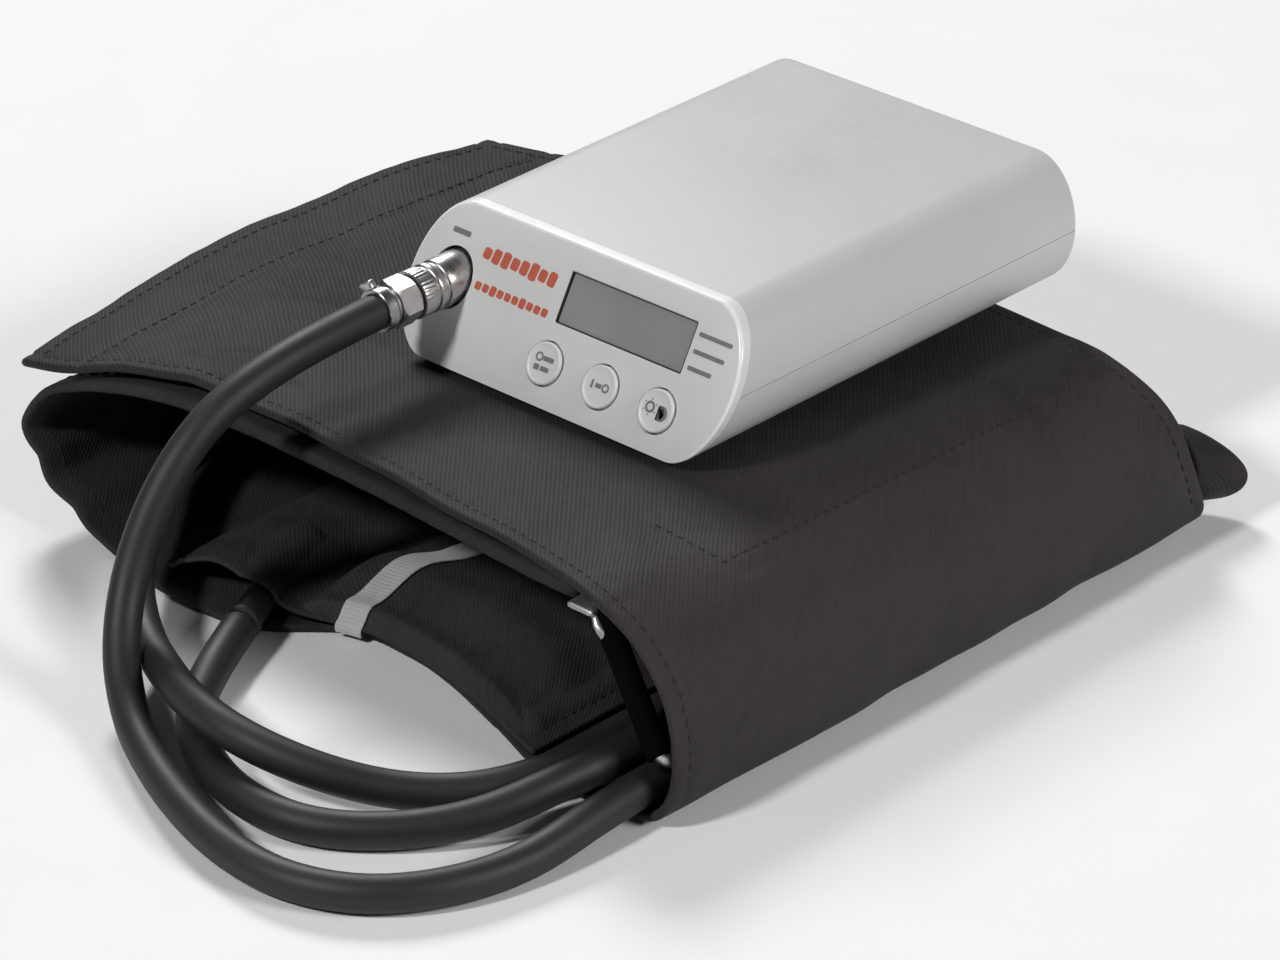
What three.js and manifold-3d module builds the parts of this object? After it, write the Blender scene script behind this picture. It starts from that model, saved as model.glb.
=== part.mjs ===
// Ambulatory blood pressure monitor lying on its folded arm cuff, with the
// air hose looped round the cuff. Millimetres, +Z up.
//
// Two frames are used. The recorder's own frame has its origin at the middle
// of the housing's lower front edge, +X to the right, +Y to the back. The
// object's frame (the exported group) has z = 0 on the table and its origin on
// the underside of the cuff, under the middle of the housing.
import * as THREE from 'three';
import { mergeVertices } from 'three/addons/utils/BufferGeometryUtils.js';
import Module from 'manifold-3d';

const wasm = await Module();
wasm.setup();

// ---------------------------------------------------------------- dimensions
const LIFT = 38;             // housing underside above the table
const SHIFT_Y = -50;         // recorder frame to object frame
const H = 27;                // housing height
const W_FLAT = 31.4;         // half width of the flat top and bottom
const BULGE = 10.08;         // side bulge
const DEPTH = 106.1;         // housing depth at the bottom
const RAKE = 15.89;          // how far the front face's top edge is set back
const FACE = Math.hypot(H, RAKE);
const PHI = Math.atan2(H, RAKE);
const WALL = 2.0;
const PART_Z = 12.8;         // height of the joint between the shells
const GAP = 0.3;
const PANEL_T = 2.2;
const LCD = { x: 12.23, v: 21.26, w: 32.0, h: 10.16 };
const BTN = { x: 11.77, v: 8.32, pitch: 14.32, r: 4.42 };
const PORT = { x: -31.3, z: 14.1, pocket: 5.4 };
const HOSE_R = 3.5;
const CLOTH = 1.8;           // cuff cloth, two plies sewn together

// ----------------------------------------------------------------- materials
const mat = (color, roughness = 0.5, metalness = 0) =>
  new THREE.MeshStandardMaterial({ color, roughness, metalness });
const M = {
  shell: mat(0xd8d6d3, 0.42), panel: mat(0xb9b6b3, 0.4), window: mat(0x81807e, 0.12),
  lcd: mat(0x6d7068, 0.4), button: mat(0xb4b1ae, 0.45), dome: mat(0xc8c8c8, 0.3, 0.9),
  board: mat(0x1f5a3a, 0.5), steel: mat(0xb8bcc0, 0.25, 1), brass: mat(0xb9a26a, 0.3, 1),
  cloth: mat(0x3c3a39, 0.95), clothB: mat(0x333130, 0.95), hose: mat(0x3b3a39, 0.45),
  rubber: mat(0x222222, 0.7), tape: mat(0x8f8d88, 0.8), cell: mat(0x4a6a8c, 0.35, 0.4),
  tray: mat(0x9a9a98, 0.5), motor: mat(0x9aa0a4, 0.35, 0.9), blackp: mat(0x2a2a2a, 0.5),
  hook: mat(0x262626, 1.0),
};

// ------------------------------------------------------------------- helpers
const root = new THREE.Group();
root.position.set(0, SHIFT_Y, LIFT);

function add(parent, name, geometry, material) {
  const m = new THREE.Mesh(geometry, material);
  m.name = name;
  parent.add(m);
  return m;
}
function solid(geometry, matrix) {
  const g = geometry.clone();
  if (matrix) g.applyMatrix4(matrix);
  g.deleteAttribute('normal');
  g.deleteAttribute('uv');
  const m = mergeVertices(g, 1e-4);
  return new wasm.Manifold(new wasm.Mesh({
    numProp: 3,
    vertProperties: Float32Array.from(m.attributes.position.array),
    triVerts: Uint32Array.from(m.index.array),
  }));
}
function geometryOf(manifold) {
  const mesh = manifold.getMesh();
  const n = mesh.numProp;
  const count = mesh.vertProperties.length / n;
  const pos = new Float32Array(count * 3);
  for (let i = 0; i < count; i++)
    for (let k = 0; k < 3; k++) pos[3 * i + k] = mesh.vertProperties[n * i + k];
  const g = new THREE.BufferGeometry();
  g.setAttribute('position', new THREE.BufferAttribute(pos, 3));
  g.setIndex(new THREE.BufferAttribute(Uint32Array.from(mesh.triVerts), 1));
  g.computeVertexNormals();
  return g;
}
const T = (x, y, z) => new THREE.Matrix4().makeTranslation(x, y, z);
const FACE_M = new THREE.Matrix4().makeRotationX(PHI);   // face frame: x, v up the face, w outward
const faceT = (x, v, w) => FACE_M.clone().multiply(T(x, v, w));
const ALONG_Y = new THREE.Matrix4().makeRotationX(-Math.PI / 2); // lathe's y axis ... kept along +Y by lathe itself
const box = (x0, x1, y0, y1, z0, z1) => {
  const g = new THREE.BoxGeometry(x1 - x0, y1 - y0, z1 - z0);
  g.translate((x0 + x1) / 2, (y0 + y1) / 2, (z0 + z1) / 2);
  return g;
};
// solid of revolution about the Y axis from [radius, y] pairs, first and last on the axis
// or closed on itself when ring is true
function turned(pairs, segments = 24, ring = false) {
  const pts = pairs.map(([r, y]) => new THREE.Vector2(r, y));
  if (ring) pts.push(pts[0].clone());
  let g = new THREE.LatheGeometry(pts, segments);
  g.deleteAttribute('normal');
  g.deleteAttribute('uv');
  g = mergeVertices(g, 1e-4);
  // drop the triangles that collapse on the axis, and face the rest outwards
  const p = g.attributes.position, idx = g.index.array, keep = [];
  let vol = 0;
  const a = new THREE.Vector3(), b = new THREE.Vector3(), c = new THREE.Vector3();
  for (let i = 0; i < idx.length; i += 3) {
    const [i0, i1, i2] = [idx[i], idx[i + 1], idx[i + 2]];
    if (i0 === i1 || i1 === i2 || i0 === i2) continue;
    keep.push(i0, i1, i2);
    a.fromBufferAttribute(p, i0); b.fromBufferAttribute(p, i1); c.fromBufferAttribute(p, i2);
    vol += a.dot(b.cross(c));
  }
  if (vol < 0) for (let i = 0; i < keep.length; i += 3) [keep[i + 1], keep[i + 2]] = [keep[i + 2], keep[i + 1]];
  g.setIndex(keep);
  g.computeVertexNormals();
  return g;
}
const rod = (r, y0, y1, segments = 24) => turned([[0, y0], [r, y0], [r, y1], [0, y1]], segments);

// housing outline in the x-z plane, with half-elliptical sides
function housingShape(inset) {
  const s = new THREE.Shape();
  const a = BULGE - inset, h = H / 2 - inset, n = 14;
  const pts = [];
  for (let i = 0; i <= n; i++) {
    const t = -Math.PI / 2 + Math.PI * i / n;
    pts.push([W_FLAT + a * Math.cos(t), H / 2 + h * Math.sin(t)]);
  }
  for (let i = 0; i <= n; i++) {
    const t = Math.PI / 2 + Math.PI * i / n;
    pts.push([-W_FLAT + a * Math.cos(t), H / 2 + h * Math.sin(t)]);
  }
  s.moveTo(...pts[0]);
  for (const p of pts.slice(1)) s.lineTo(...p);
  s.closePath();
  return s;
}
function housingPrism(inset, y0, y1) {
  const g = new THREE.ExtrudeGeometry(housingShape(inset), { depth: y1 - y0, bevelEnabled: false });
  g.rotateX(Math.PI / 2);
  g.translate(0, y1, 0);
  return g;
}

// a sheet with thickness: centre surface P(u, v), thickness th(u, v)
function sheet(P, th, nu, nv) {
  const pos = [], idx = [];
  const E = 1e-3;
  const A = new THREE.Vector3(), B = new THREE.Vector3(), N = new THREE.Vector3();
  const top = [], bot = [];
  for (let i = 0; i <= nu; i++) {
    for (let j = 0; j <= nv; j++) {
      const u = i / nu, v = j / nv;
      const u0 = Math.max(0, u - E), u1 = Math.min(1, u + E);
      const v0 = Math.max(0, v - E), v1 = Math.min(1, v + E);
      A.subVectors(P(u1, v), P(u0, v));
      B.subVectors(P(u, v1), P(u, v0));
      N.crossVectors(A, B).normalize();
      const c = P(u, v), h = th(u, v) / 2;
      top.push(c.clone().addScaledVector(N, h));
      bot.push(c.clone().addScaledVector(N, -h));
    }
  }
  const n = top.length, k = (i, j) => i * (nv + 1) + j;
  for (const q of [...top, ...bot]) pos.push(q.x, q.y, q.z);
  const quad = (a, b, c, d) => idx.push(a, b, c, a, c, d);
  for (let i = 0; i < nu; i++) for (let j = 0; j < nv; j++) {
    quad(k(i, j), k(i + 1, j), k(i + 1, j + 1), k(i, j + 1));
    quad(n + k(i, j), n + k(i, j + 1), n + k(i + 1, j + 1), n + k(i + 1, j));
  }
  for (let i = 0; i < nu; i++) {
    quad(k(i, 0), n + k(i, 0), n + k(i + 1, 0), k(i + 1, 0));
    quad(k(i, nv), k(i + 1, nv), n + k(i + 1, nv), n + k(i, nv));
  }
  for (let j = 0; j < nv; j++) {
    quad(k(0, j), k(0, j + 1), n + k(0, j + 1), n + k(0, j));
    quad(k(nu, j), n + k(nu, j), n + k(nu, j + 1), k(nu, j + 1));
  }
  // face outwards
  let vol = 0;
  const v3 = i => new THREE.Vector3(pos[3 * i], pos[3 * i + 1], pos[3 * i + 2]);
  for (let i = 0; i < idx.length; i += 3) vol += v3(idx[i]).dot(v3(idx[i + 1]).cross(v3(idx[i + 2])));
  if (vol < 0) for (let i = 0; i < idx.length; i += 3) [idx[i + 1], idx[i + 2]] = [idx[i + 2], idx[i + 1]];
  const g = new THREE.BufferGeometry();
  g.setAttribute('position', new THREE.Float32BufferAttribute(pos, 3));
  g.setIndex(idx);
  g.computeVertexNormals();
  return g;
}
// smooth interpolation through rows of numbers
function track(rows) {
  const n = rows.length - 1, dim = rows[0].length;
  return (u) => {
    const s = Math.min(Math.max(u, 0), 1) * n, i = Math.min(Math.floor(s), n - 1), t = s - i;
    const out = [];
    for (let d = 0; d < dim; d++) {
      const p1 = rows[i][d], p2 = rows[i + 1][d];
      const p0 = i > 0 ? rows[i - 1][d] : 2 * p1 - p2;
      const p3 = i < n - 1 ? rows[i + 2][d] : 2 * p2 - p1;
      out.push(0.5 * ((2 * p1) + (-p0 + p2) * t + (2 * p0 - 5 * p1 + 4 * p2 - p3) * t * t + (-p0 + 3 * p1 - 3 * p2 + p3) * t * t * t));
    }
    return out;
  };
}
function circle(r, sides) {
  const s = new THREE.Shape();
  for (let i = 0; i < sides; i++) {
    const t = 2 * Math.PI * i / sides;
    if (i) s.lineTo(r * Math.cos(t), r * Math.sin(t)); else s.moveTo(r, 0);
  }
  s.closePath();
  return s;
}
const v3 = (a) => new THREE.Vector3(...a);
function tube(points, r, sides, steps) {
  const curve = new THREE.CatmullRomCurve3(points.map(v3), false, 'centripetal');
  return new THREE.ExtrudeGeometry(circle(r, sides), { steps, extrudePath: curve, bevelEnabled: false });
}

// ------------------------------------------------------------------- housing
const recorder = new THREE.Group();
root.add(recorder);

const bigSlab = (w0, w1) => solid(box(-100, 100, -60, 100, w0, w1), FACE_M);
const holeThroughFace = (x, v, r) => solid(new THREE.CylinderGeometry(r, r, 12, 32).rotateX(Math.PI / 2), faceT(x, v, -1));
const portAxis = T(PORT.x, 0, PORT.z);
const outer = solid(housingPrism(0, -30, DEPTH));
const inner = solid(housingPrism(WALL, -30, DEPTH - WALL - 0.2));
const behindPanel = bigSlab(-200, -PANEL_T - GAP);

// front panel: the raked face, with the window, the buttons and the port
let panel = outer.intersect(bigSlab(-PANEL_T, 0));
panel = panel.subtract(solid(box(-LCD.w / 2, LCD.w / 2, -LCD.h / 2, LCD.h / 2, -8, 8), faceT(LCD.x, LCD.v, 0)));
for (const k of [-1, 0, 1]) panel = panel.subtract(holeThroughFace(BTN.x + k * BTN.pitch, BTN.v, BTN.r));
panel = panel.subtract(solid(rod(PORT.pocket, -10, 30, 32), portAxis));
add(recorder, 'front_panel', geometryOf(panel), M.panel);

const shellWalls = outer.intersect(behindPanel).subtract(inner);
const POSTS = [[-30, 41], [30, 41], [-30, 63], [30, 63]];
const upright = (r, z0, z1, x, y, n = 20) => {
  const g = new THREE.CylinderGeometry(r, r, z1 - z0, n).rotateX(Math.PI / 2);
  g.translate(x, y, (z0 + z1) / 2);
  return solid(g);
};
let upper = shellWalls.intersect(solid(box(-60, 60, -60, 140, PART_Z + GAP / 2, 60)));
for (const [x, y] of POSTS) {
  upper = upper.add(upright(3.0, 2.4, 25.6, x, y).subtract(upright(1.4, 0, 14, x, y)));
}
add(recorder, 'upper_shell', geometryOf(upper), M.shell);

const DOOR = { x: 28.1, y0: 66, y1: DEPTH - 0.15, t: 1.75 };
let lower = shellWalls.intersect(solid(box(-60, 60, -60, 140, -60, PART_Z - GAP / 2)));
lower = lower.subtract(solid(box(-DOOR.x - GAP, DOOR.x + GAP, DOOR.y0 - GAP, 140, -5, DOOR.t + GAP)));
for (const [x, y] of POSTS) {
  lower = lower.subtract(upright(2.9, -1, 1.2, x, y)).subtract(upright(1.6, -1, 4, x, y));
}
add(recorder, 'lower_shell', geometryOf(lower), M.shell);

POSTS.forEach(([x, y], i) => {
  const g = turned([[0, 0.2], [2.3, 0.2], [2.5, 0.45], [2.5, 0.9], [1.0, 0.9], [1.0, 11.4], [0.5, 12], [0, 12]], 16);
  g.rotateX(Math.PI / 2);
  g.translate(x, y, 0);
  add(recorder, `case_screw_${i + 1}`, g, M.steel);
});

// battery door with finger grooves, sliding out to the back
let door = solid(box(-DOOR.x, DOOR.x, DOOR.y0, DOOR.y1, 0, DOOR.t));
for (let i = 0; i < 5; i++) door = door.subtract(solid(box(-9, 9, 72 + i * 2.4, 73.2 + i * 2.4, -1, 0.5)));
add(recorder, 'battery_door', geometryOf(door), M.shell);

// battery tray, cells and contacts
const tray = solid(box(-29.2, 29.2, 66.9, 103.3, 2.6, 19.4)).subtract(solid(box(-28, 28, 68.1, 102.1, 0, 18.2)));
add(recorder, 'battery_tray', geometryOf(tray), M.tray);
[77.0, 93.2].forEach((y, i) => {
  const g = turned([[0, -24.2], [6.6, -24.2], [7.1, -23.7], [7.1, 24.7], [6.6, 25.2], [2.7, 25.2], [2.7, 26.2], [0, 26.2]], 28);
  g.rotateZ(-Math.PI / 2);
  if (i) g.rotateZ(Math.PI);
  g.translate(0, y, 10.4);
  add(recorder, `battery_cell_${i + 1}`, g, M.cell);
  const s = i ? -1 : 1;
  add(recorder, `contact_plate_${i + 1}`, box(s > 0 ? 26.6 : -27.0, s > 0 ? 27.0 : -26.6, y - 4.5, y + 4.5, 5, 15.8), M.steel);
  const pts = [];
  for (let k = 0; k <= 30; k++) {
    const t = 2 * Math.PI * 2.25 * k / 30;
    pts.push([-s * (24.95 + 1.7 * k / 30), y + 3.4 * Math.cos(t), 10.4 + 3.4 * Math.sin(t)]);
  }
  add(recorder, `contact_spring_${i + 1}`, tube(pts, 0.3, 6, 36), M.steel);
});

// main board with its parts, pump, valve, sensor, sounder
let board = solid(box(-26, 26, 26, 100, 21.4, 23.0));
for (const [x0, x1, y0, y1, h] of [[-14, -2, 34, 46, 1.1], [6, 16, 52, 59, 1.2], [-20, -8, 70, 78, 1.0], [10, 22, 78, 90, 1.4]]) {
  board = board.add(solid(box(x0, x1, y0, y1, 22.8, 23.0 + h)));
}
add(recorder, 'main_board', geometryOf(board), M.board);
const alongX = (g, y, z) => { g.rotateZ(-Math.PI / 2); g.translate(0, y, z); return g; };
add(recorder, 'pump_motor', alongX(turned([[0, -26], [8.2, -26], [8.9, -25.3], [8.9, -2], [0, -2]], 28), 53, 11.7), M.motor);
const head = solid(alongX(turned([[0, -1.7], [8.9, -1.7], [8.9, 10.5], [7.4, 12], [0, 12]], 28), 53, 11.7))
  .add(solid(rod(1.5, -11.4, -7, 16), T(5, 53, 11.7)));
add(recorder, 'pump_head', geometryOf(head), M.blackp);
const valve = solid(box(16, 26, 47, 59, 2.6, 15.5)).add(solid(box(18, 24, 50, 56, 15.3, 18)));
add(recorder, 'release_valve', geometryOf(valve), M.blackp);
add(recorder, 'pressure_sensor', box(13, 21, 31, 39, 15.2, 21.1), M.blackp);
add(recorder, 'sounder', turned([[0, 17.6], [5, 17.6], [5, 21.1], [0, 21.1]], 24).rotateX(Math.PI / 2).translate(-2, 31.5, 0), M.blackp);

// display and keys, built in the face's own frame
const face = new THREE.Group();
face.rotation.x = PHI;
recorder.add(face);
add(face, 'display_window', box(LCD.x - LCD.w / 2 + 0.3, LCD.x + LCD.w / 2 - 0.3, LCD.v - LCD.h / 2 + 0.3, LCD.v + LCD.h / 2 - 0.3, -1.3, -0.05), M.window);
add(face, 'lcd_module', box(LCD.x - 18, LCD.x + 18, LCD.v - 6.4, LCD.v + 6.4, -4.4, -2.6), M.lcd);
add(face, 'key_board', box(BTN.x - 20, BTN.x + 20, 6.3, 13.6, -6.1, -5.2), M.board);
['left', 'centre', 'right'].forEach((side, i) => {
  const x = BTN.x + (i - 1) * BTN.pitch;
  const cap = turned([[0, -3.3], [1.4, -3.3], [1.4, -2.0], [4.1, -2.0], [4.1, 0.25], [3.75, 0.6], [0, 0.6]], 28);
  cap.rotateX(Math.PI / 2);
  cap.translate(x, BTN.v, 0);
  add(face, `button_${side}`, cap, M.button);
  const dome = turned([[0, -4.9], [1.9, -4.9], [1.9, -4.6], [1.0, -4.15], [0, -4.05]], 18);
  dome.rotateX(Math.PI / 2);
  dome.translate(x, BTN.v, 0);
  add(face, `dome_switch_${side}`, dome, M.dome);
});

// air port, coupling and its release sleeve, all about the port's axis along Y
const port = new THREE.Group();
port.position.set(PORT.x, 0, PORT.z);
recorder.add(port);
const cup = solid(rod(7.0, -5, 17, 32), portAxis)
  .subtract(solid(rod(PORT.pocket, -10, 14.5, 32), portAxis))
  .subtract(solid(rod(1.6, 0, 30, 16), portAxis))
  .intersect(bigSlab(-200, -PANEL_T - GAP));
add(recorder, 'port_cup', geometryOf(cup), M.panel);
add(port, 'port_nipple', turned([[0, 1.0], [1.0, 1.0], [1.2, 1.4], [1.2, 17.3], [3.5, 17.3], [3.5, 18.7], [1.3, 18.7], [1.3, 24], [1.0, 25], [0, 25]], 20), M.steel);
add(port, 'port_o_ring', turned([0, 1, 2, 3, 4, 5, 6, 7].map(i => [1.7 + 0.32 * Math.cos(i * Math.PI / 4), 5 + 0.32 * Math.sin(i * Math.PI / 4)]), 24, true), M.rubber);
// coupling body: hexagon outside the panel, barrel inside the sleeve
const barrel = solid(turned([[1.55, -8.7], [3.9, -8.7], [3.9, -8.0], [4.6, -7.7], [4.6, -3.4], [3.2, -2.8], [3.2, 11.3], [3.7, 11.4], [3.7, 12.6], [2.2, 12.6], [2.2, 3.0], [1.55, 3.0]], 32, true));
const hex = solid(new THREE.CylinderGeometry(4.97, 4.97, 4.3, 6).translate(0, -5.55, 0)).subtract(solid(rod(4.0, -20, 20, 24)));
add(port, 'coupling_body', geometryOf(barrel.add(hex)), M.steel);
add(port, 'coupling_sleeve', turned([[3.5, -2.4], [4.4, -2.4], [4.85, -1.9], [4.85, 0.6], [4.55, 0.9], [4.55, 1.5], [4.85, 1.8], [4.85, 3.0], [4.55, 3.3], [4.55, 3.9], [4.85, 4.2], [4.85, 12.0], [4.65, 12.4], [4.3, 12.4], [4.3, 1.0], [3.5, 1.0]], 32, true), M.steel);
{
  const pts = [];
  for (let k = 0; k <= 54; k++) {
    const t = 2 * Math.PI * 5.5 * k / 54;
    pts.push([3.75 * Math.cos(t), 2.75 + 8.1 * k / 54, 3.75 * Math.sin(t)]);
  }
  add(port, 'coupling_spring', tube(pts, 0.2, 6, 66), M.steel);
}
add(recorder, 'air_tube', tube([[-31.3, 25.4, 14.1], [-31.2, 29.5, 14.0], [-27, 34.5, 13], [-16, 37, 12.2], [-4, 37.2, 11.9], [2.5, 37.4, 11.7], [4.8, 38.8, 11.7], [5, 41.1, 11.7]], 1.6, 8, 24), M.rubber);

// ---------------------------------------------------------------------- cuff
const cuff = new THREE.Group();
root.add(cuff);
const grid = (front, back, shape) => {
  const F = track(front), B = track(back);
  return (u, v) => {
    const f = F(u), b = B(u);
    const p = new THREE.Vector3(f[0] + (b[0] - f[0]) * v, f[2] + (b[2] - f[2]) * v, f[1] + (b[1] - f[1]) * v);
    return shape ? shape(p, u, v) : p;
  };
};
// rows are [x, z, y]: across the strip, for its front edge and its back edge
const flapFront = [[-96.5, -7.0, -42.5], [-85, -4.8, -41.5], [-74, -2.9, -36.5], [-58, -1.8, -33], [-41, -1.4, -32.5], [-20, -1.35, -33.5],
  [0, -1.35, -35.5], [22, -1.35, -38], [44, -1.5, -40.5], [57, -2.1, -43.3], [67, -5.6, -44.3], [74, -12.6, -45], [77.6, -21, -46],
  [78.3, -28.6, -47], [77.3, -33.4, -48.5], [73.8, -36.3, -49], [66, -37.1, -49.5], [50, -37.1, -49.5], [31, -37.1, -43]];
const flapBack = [[-97, -4.2, 84], [-86, -4.2, 87], [-75, -4.2, 90], [-58, -4.4, 93], [-41, -4.8, 95], [-20, -5.0, 97],
  [0, -5.0, 97], [22, -5.0, 97], [44, -5.2, 96], [57, -5.6, 95], [67, -8.6, 95], [73.6, -14, 96], [77, -21.5, 97],
  [78.0, -28.6, 99], [77.2, -33.4, 101], [73.8, -36.3, 102], [66, -37.1, 102], [50, -37.1, 102], [31, -37.1, 101]];
const flapSurface = grid(flapFront, flapBack, (p, u, v) => {
  const w = Math.max(0, 1 - u * 18 / 4), s = Math.sin(Math.PI * v);
  p.x -= 5.5 * s * w * w;
  p.z = Math.max(p.z + 2.0 * s * w, CLOTH / 2 - LIFT);
  return p;
});
add(cuff, 'cuff_flap', sheet(flapSurface, () => CLOTH, 54, 12), M.cloth);

const panelFront = [[30.6, -37.2, -43], [13, -37.2, -37.4], [0, -37.2, -35.3], [-14, -37.2, -36.4], [-30, -37.2, -48], [-50, -37.2, -49.5],
  [-66, -36.8, -46.8], [-77, -33.9, -46], [-86, -29.8, -45], [-92, -25.0, -45], [-94.3, -19.3, -45], [-92.8, -13.8, -44], [-87.6, -9.6, -42],
  [-78, -7.4, -38], [-64, -6.0, -35], [-45, -5.5, -34], [-20, -5.4, -34.5], [10, -5.5, -36], [35, -5.7, -37.5], [45, -5.9, -37.5]];
const panelBack = [[30.6, -37.2, 101], [13, -37.2, 100], [0, -37.2, 99], [-14, -37.2, 98], [-30, -37.2, 98], [-50, -37.2, 97],
  [-66, -36.8, 96], [-77, -33.9, 95], [-86, -29.8, 94], [-92, -25.0, 94], [-94.3, -19.3, 93], [-92.8, -14.5, 92], [-87.6, -11.4, 91],
  [-78, -9.8, 90], [-64, -9.2, 92], [-45, -9.0, 94], [-20, -9.0, 95], [10, -9.0, 95], [35, -9.2, 94], [45, -9.4, 94]];
const panelThickness = (u) => CLOTH - 0.2 + 1.5 * THREE.MathUtils.smoothstep(u, 11 / 19, 14 / 19);
const panelSurface = grid(panelFront, panelBack, (p, u) => {
  p.z = Math.max(p.z, panelThickness(u) / 2 - LIFT);
  return p;
});
add(cuff, 'cuff_panel', sheet(panelSurface, panelThickness, 57, 10), M.clothB);

// air bladder on the lower ply, under its cover
const bladderOuter = new THREE.Shape();
{
  const [x0, x1, y0, y1, r] = [-51, 18, -24, 84, 9];
  bladderOuter.moveTo(x0 + r, y0); bladderOuter.lineTo(x1 - r, y0); bladderOuter.quadraticCurveTo(x1, y0, x1, y0 + r);
  bladderOuter.lineTo(x1, y1 - r); bladderOuter.quadraticCurveTo(x1, y1, x1 - r, y1); bladderOuter.lineTo(x0 + r, y1);
  bladderOuter.quadraticCurveTo(x0, y1, x0, y1 - r); bladderOuter.lineTo(x0, y0 + r); bladderOuter.quadraticCurveTo(x0, y0, x0 + r, y0);
}
add(cuff, 'air_bladder', new THREE.ExtrudeGeometry(bladderOuter, { depth: 1.9, bevelEnabled: false, curveSegments: 5 }).translate(0, 0, -35.95), M.rubber);

// bladder's own tube, coming out of the pocket's mouth
const STUB = [[-25.4, -54.0, -33.05], [-29.6, -46.0, -33.3], [-34.2, -36.0, -33.3], [-36.5, -27.0, -33.3]];
add(cuff, 'bladder_tube', tube(STUB, 2.9, 12, 12), M.hose);

// the cover is puffed up behind its front edge, and rises in an arch over the
// tube at the pocket's mouth
const coverFrontY = track([[-44.3], [-45.8], [-45.8], [-43.9], [-38.9], [-36.9], [-37.4], [-38.9], [-41.4], [-44.5], [-47.6]]);
const step = THREE.MathUtils.smoothstep;
const fromStub = (x, y) => {
  let d = 1e9;
  for (let i = 0; i < STUB.length - 1; i++) {
    const [ax, ay] = STUB[i], [bx, by] = STUB[i + 1];
    const t = Math.min(1, Math.max(0, ((x - ax) * (bx - ax) + (y - ay) * (by - ay)) / ((bx - ax) ** 2 + (by - ay) ** 2)));
    d = Math.min(d, Math.hypot(x - ax - t * (bx - ax), y - ay - t * (by - ay)));
  }
  return d;
};
const coverAt = (x, y) => {
  const y0 = coverFrontY((x + 56) / 100)[0], f = y - y0;
  const edge = step(Math.min(x + 56, 44 - x, 93 - y), 0, 5);
  const arch = 7.3 * Math.exp(-(((x + 39) / 12.5) ** 2)) * (1 - step(f, 14, 40));
  const d = fromStub(x, y);
  const over = (d < 3.9 ? 2.0 + Math.sqrt(3.9 ** 2 - d ** 2) : 2.0 * (1 - step(d, 3.9, 9))) * (1 - step(f, 20, 40));
  const puff = (3.2 * step(f, -0.4, 2.6) + 3.1 * step(f, 4, 16) - 1.7 * step(f, 16, 26) - 2.4 * step(f, 26, 48))
    * step(x, -27, -19) * (1 - step(x, 28, 43));
  const flat = Math.max(2.2 * step(f, 0, 5), puff);
  return -35.3 + edge * (arch ** 4 + over ** 4 + flat ** 4) ** 0.25;
};
const COVER_X = [-56, -54.5, -52.5, -50, -47, -44, -41, -38.5, -36, -34, -32, -30.5, -29, -27.5, -26, -24, -21.5, -19, -16.5, -13.5, -10.5,
  -6, 0, 6, 12, 18, 24, 29, 33, 37, 40, 42.5, 44];
const COVER_F = [0, 0.7, 1.5, 2.6, 4.5, 7, 10, 13, 16, 20, 25, 31, 38, 48, 62, 78, 94, 110, 122, 130];
const pick = (list, t) => {
  const s = Math.min(Math.max(t, 0), 1) * (list.length - 1), i = Math.min(Math.floor(s), list.length - 2);
  return list[i] + (list[i + 1] - list[i]) * (s - i);
};
const coverPoint = (x, s) => {
  const y0 = coverFrontY((x + 56) / 100)[0];
  const y = y0 + (93 - y0) * s / 130;
  return new THREE.Vector3(x, y, coverAt(x, y));
};
add(cuff, 'bladder_cover', sheet((u, v) => coverPoint(pick(COVER_X, u), pick(COVER_F, v)), () => 1.1, COVER_X.length - 1, COVER_F.length - 1), M.clothB);

// hook tape under the flap's free end
add(cuff, 'hook_patch', sheet((u, v) => {
  const p = flapSurface(0.028 + 0.034 * u, 0.08 + 0.84 * v);
  p.z -= CLOTH / 2 + 0.3 + 0.4;
  return p;
}, () => 0.7, 4, 10), M.hook);

// range tape, lying on the cover from its front edge to the back
const TAPE_F = [0.7, 1.5, 2.6, 4.5, 7, 10, 13, 16, 20, 25, 31, 38, 48, 62, 78, 94, 110];
add(cuff, 'range_tape', sheet((u, v) => {
  const s = pick(TAPE_F, v), x = -15.7 + 6 * u + 2.5 * step(s, 12, 34), p = coverPoint(x, s);
  const a = coverPoint(x, s + 0.5).sub(coverPoint(x, s - 0.5)), b = coverPoint(x + 0.5, s).sub(coverPoint(x - 0.5, s));
  return p.addScaledVector(b.cross(a).normalize(), 0.55 + 0.25 + 0.2);
}, () => 0.5, 2, TAPE_F.length - 1), M.tape);

// metal ring: a rounded frame of wire, its long bars along Y
const RING = { a: [51.5, -6.3], b: [74.5, -26.9], r: 1.9 };
const ringPts = [];
{
  const c = [[RING.a[0], -37.5, RING.a[1]], [RING.b[0], -46, RING.b[1]], [RING.b[0], 98.5, RING.b[1] - 0.4], [RING.a[0], 96.5, RING.a[1] - 3.6]];
  const rr = 5.5;
  for (let i = 0; i < 4; i++) {
    const p = v3(c[i]), q = v3(c[(i + 1) % 4]), o = v3(c[(i + 3) % 4]);
    const a = p.clone().addScaledVector(o.clone().sub(p).normalize(), rr);
    const b = p.clone().addScaledVector(q.clone().sub(p).normalize(), rr);
    for (let k = 0; k <= 4; k++) {
      const t = k / 4;
      ringPts.push(a.clone().multiplyScalar((1 - t) ** 2).addScaledVector(p, 2 * t * (1 - t)).addScaledVector(b, t * t));
    }
  }
}
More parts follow.
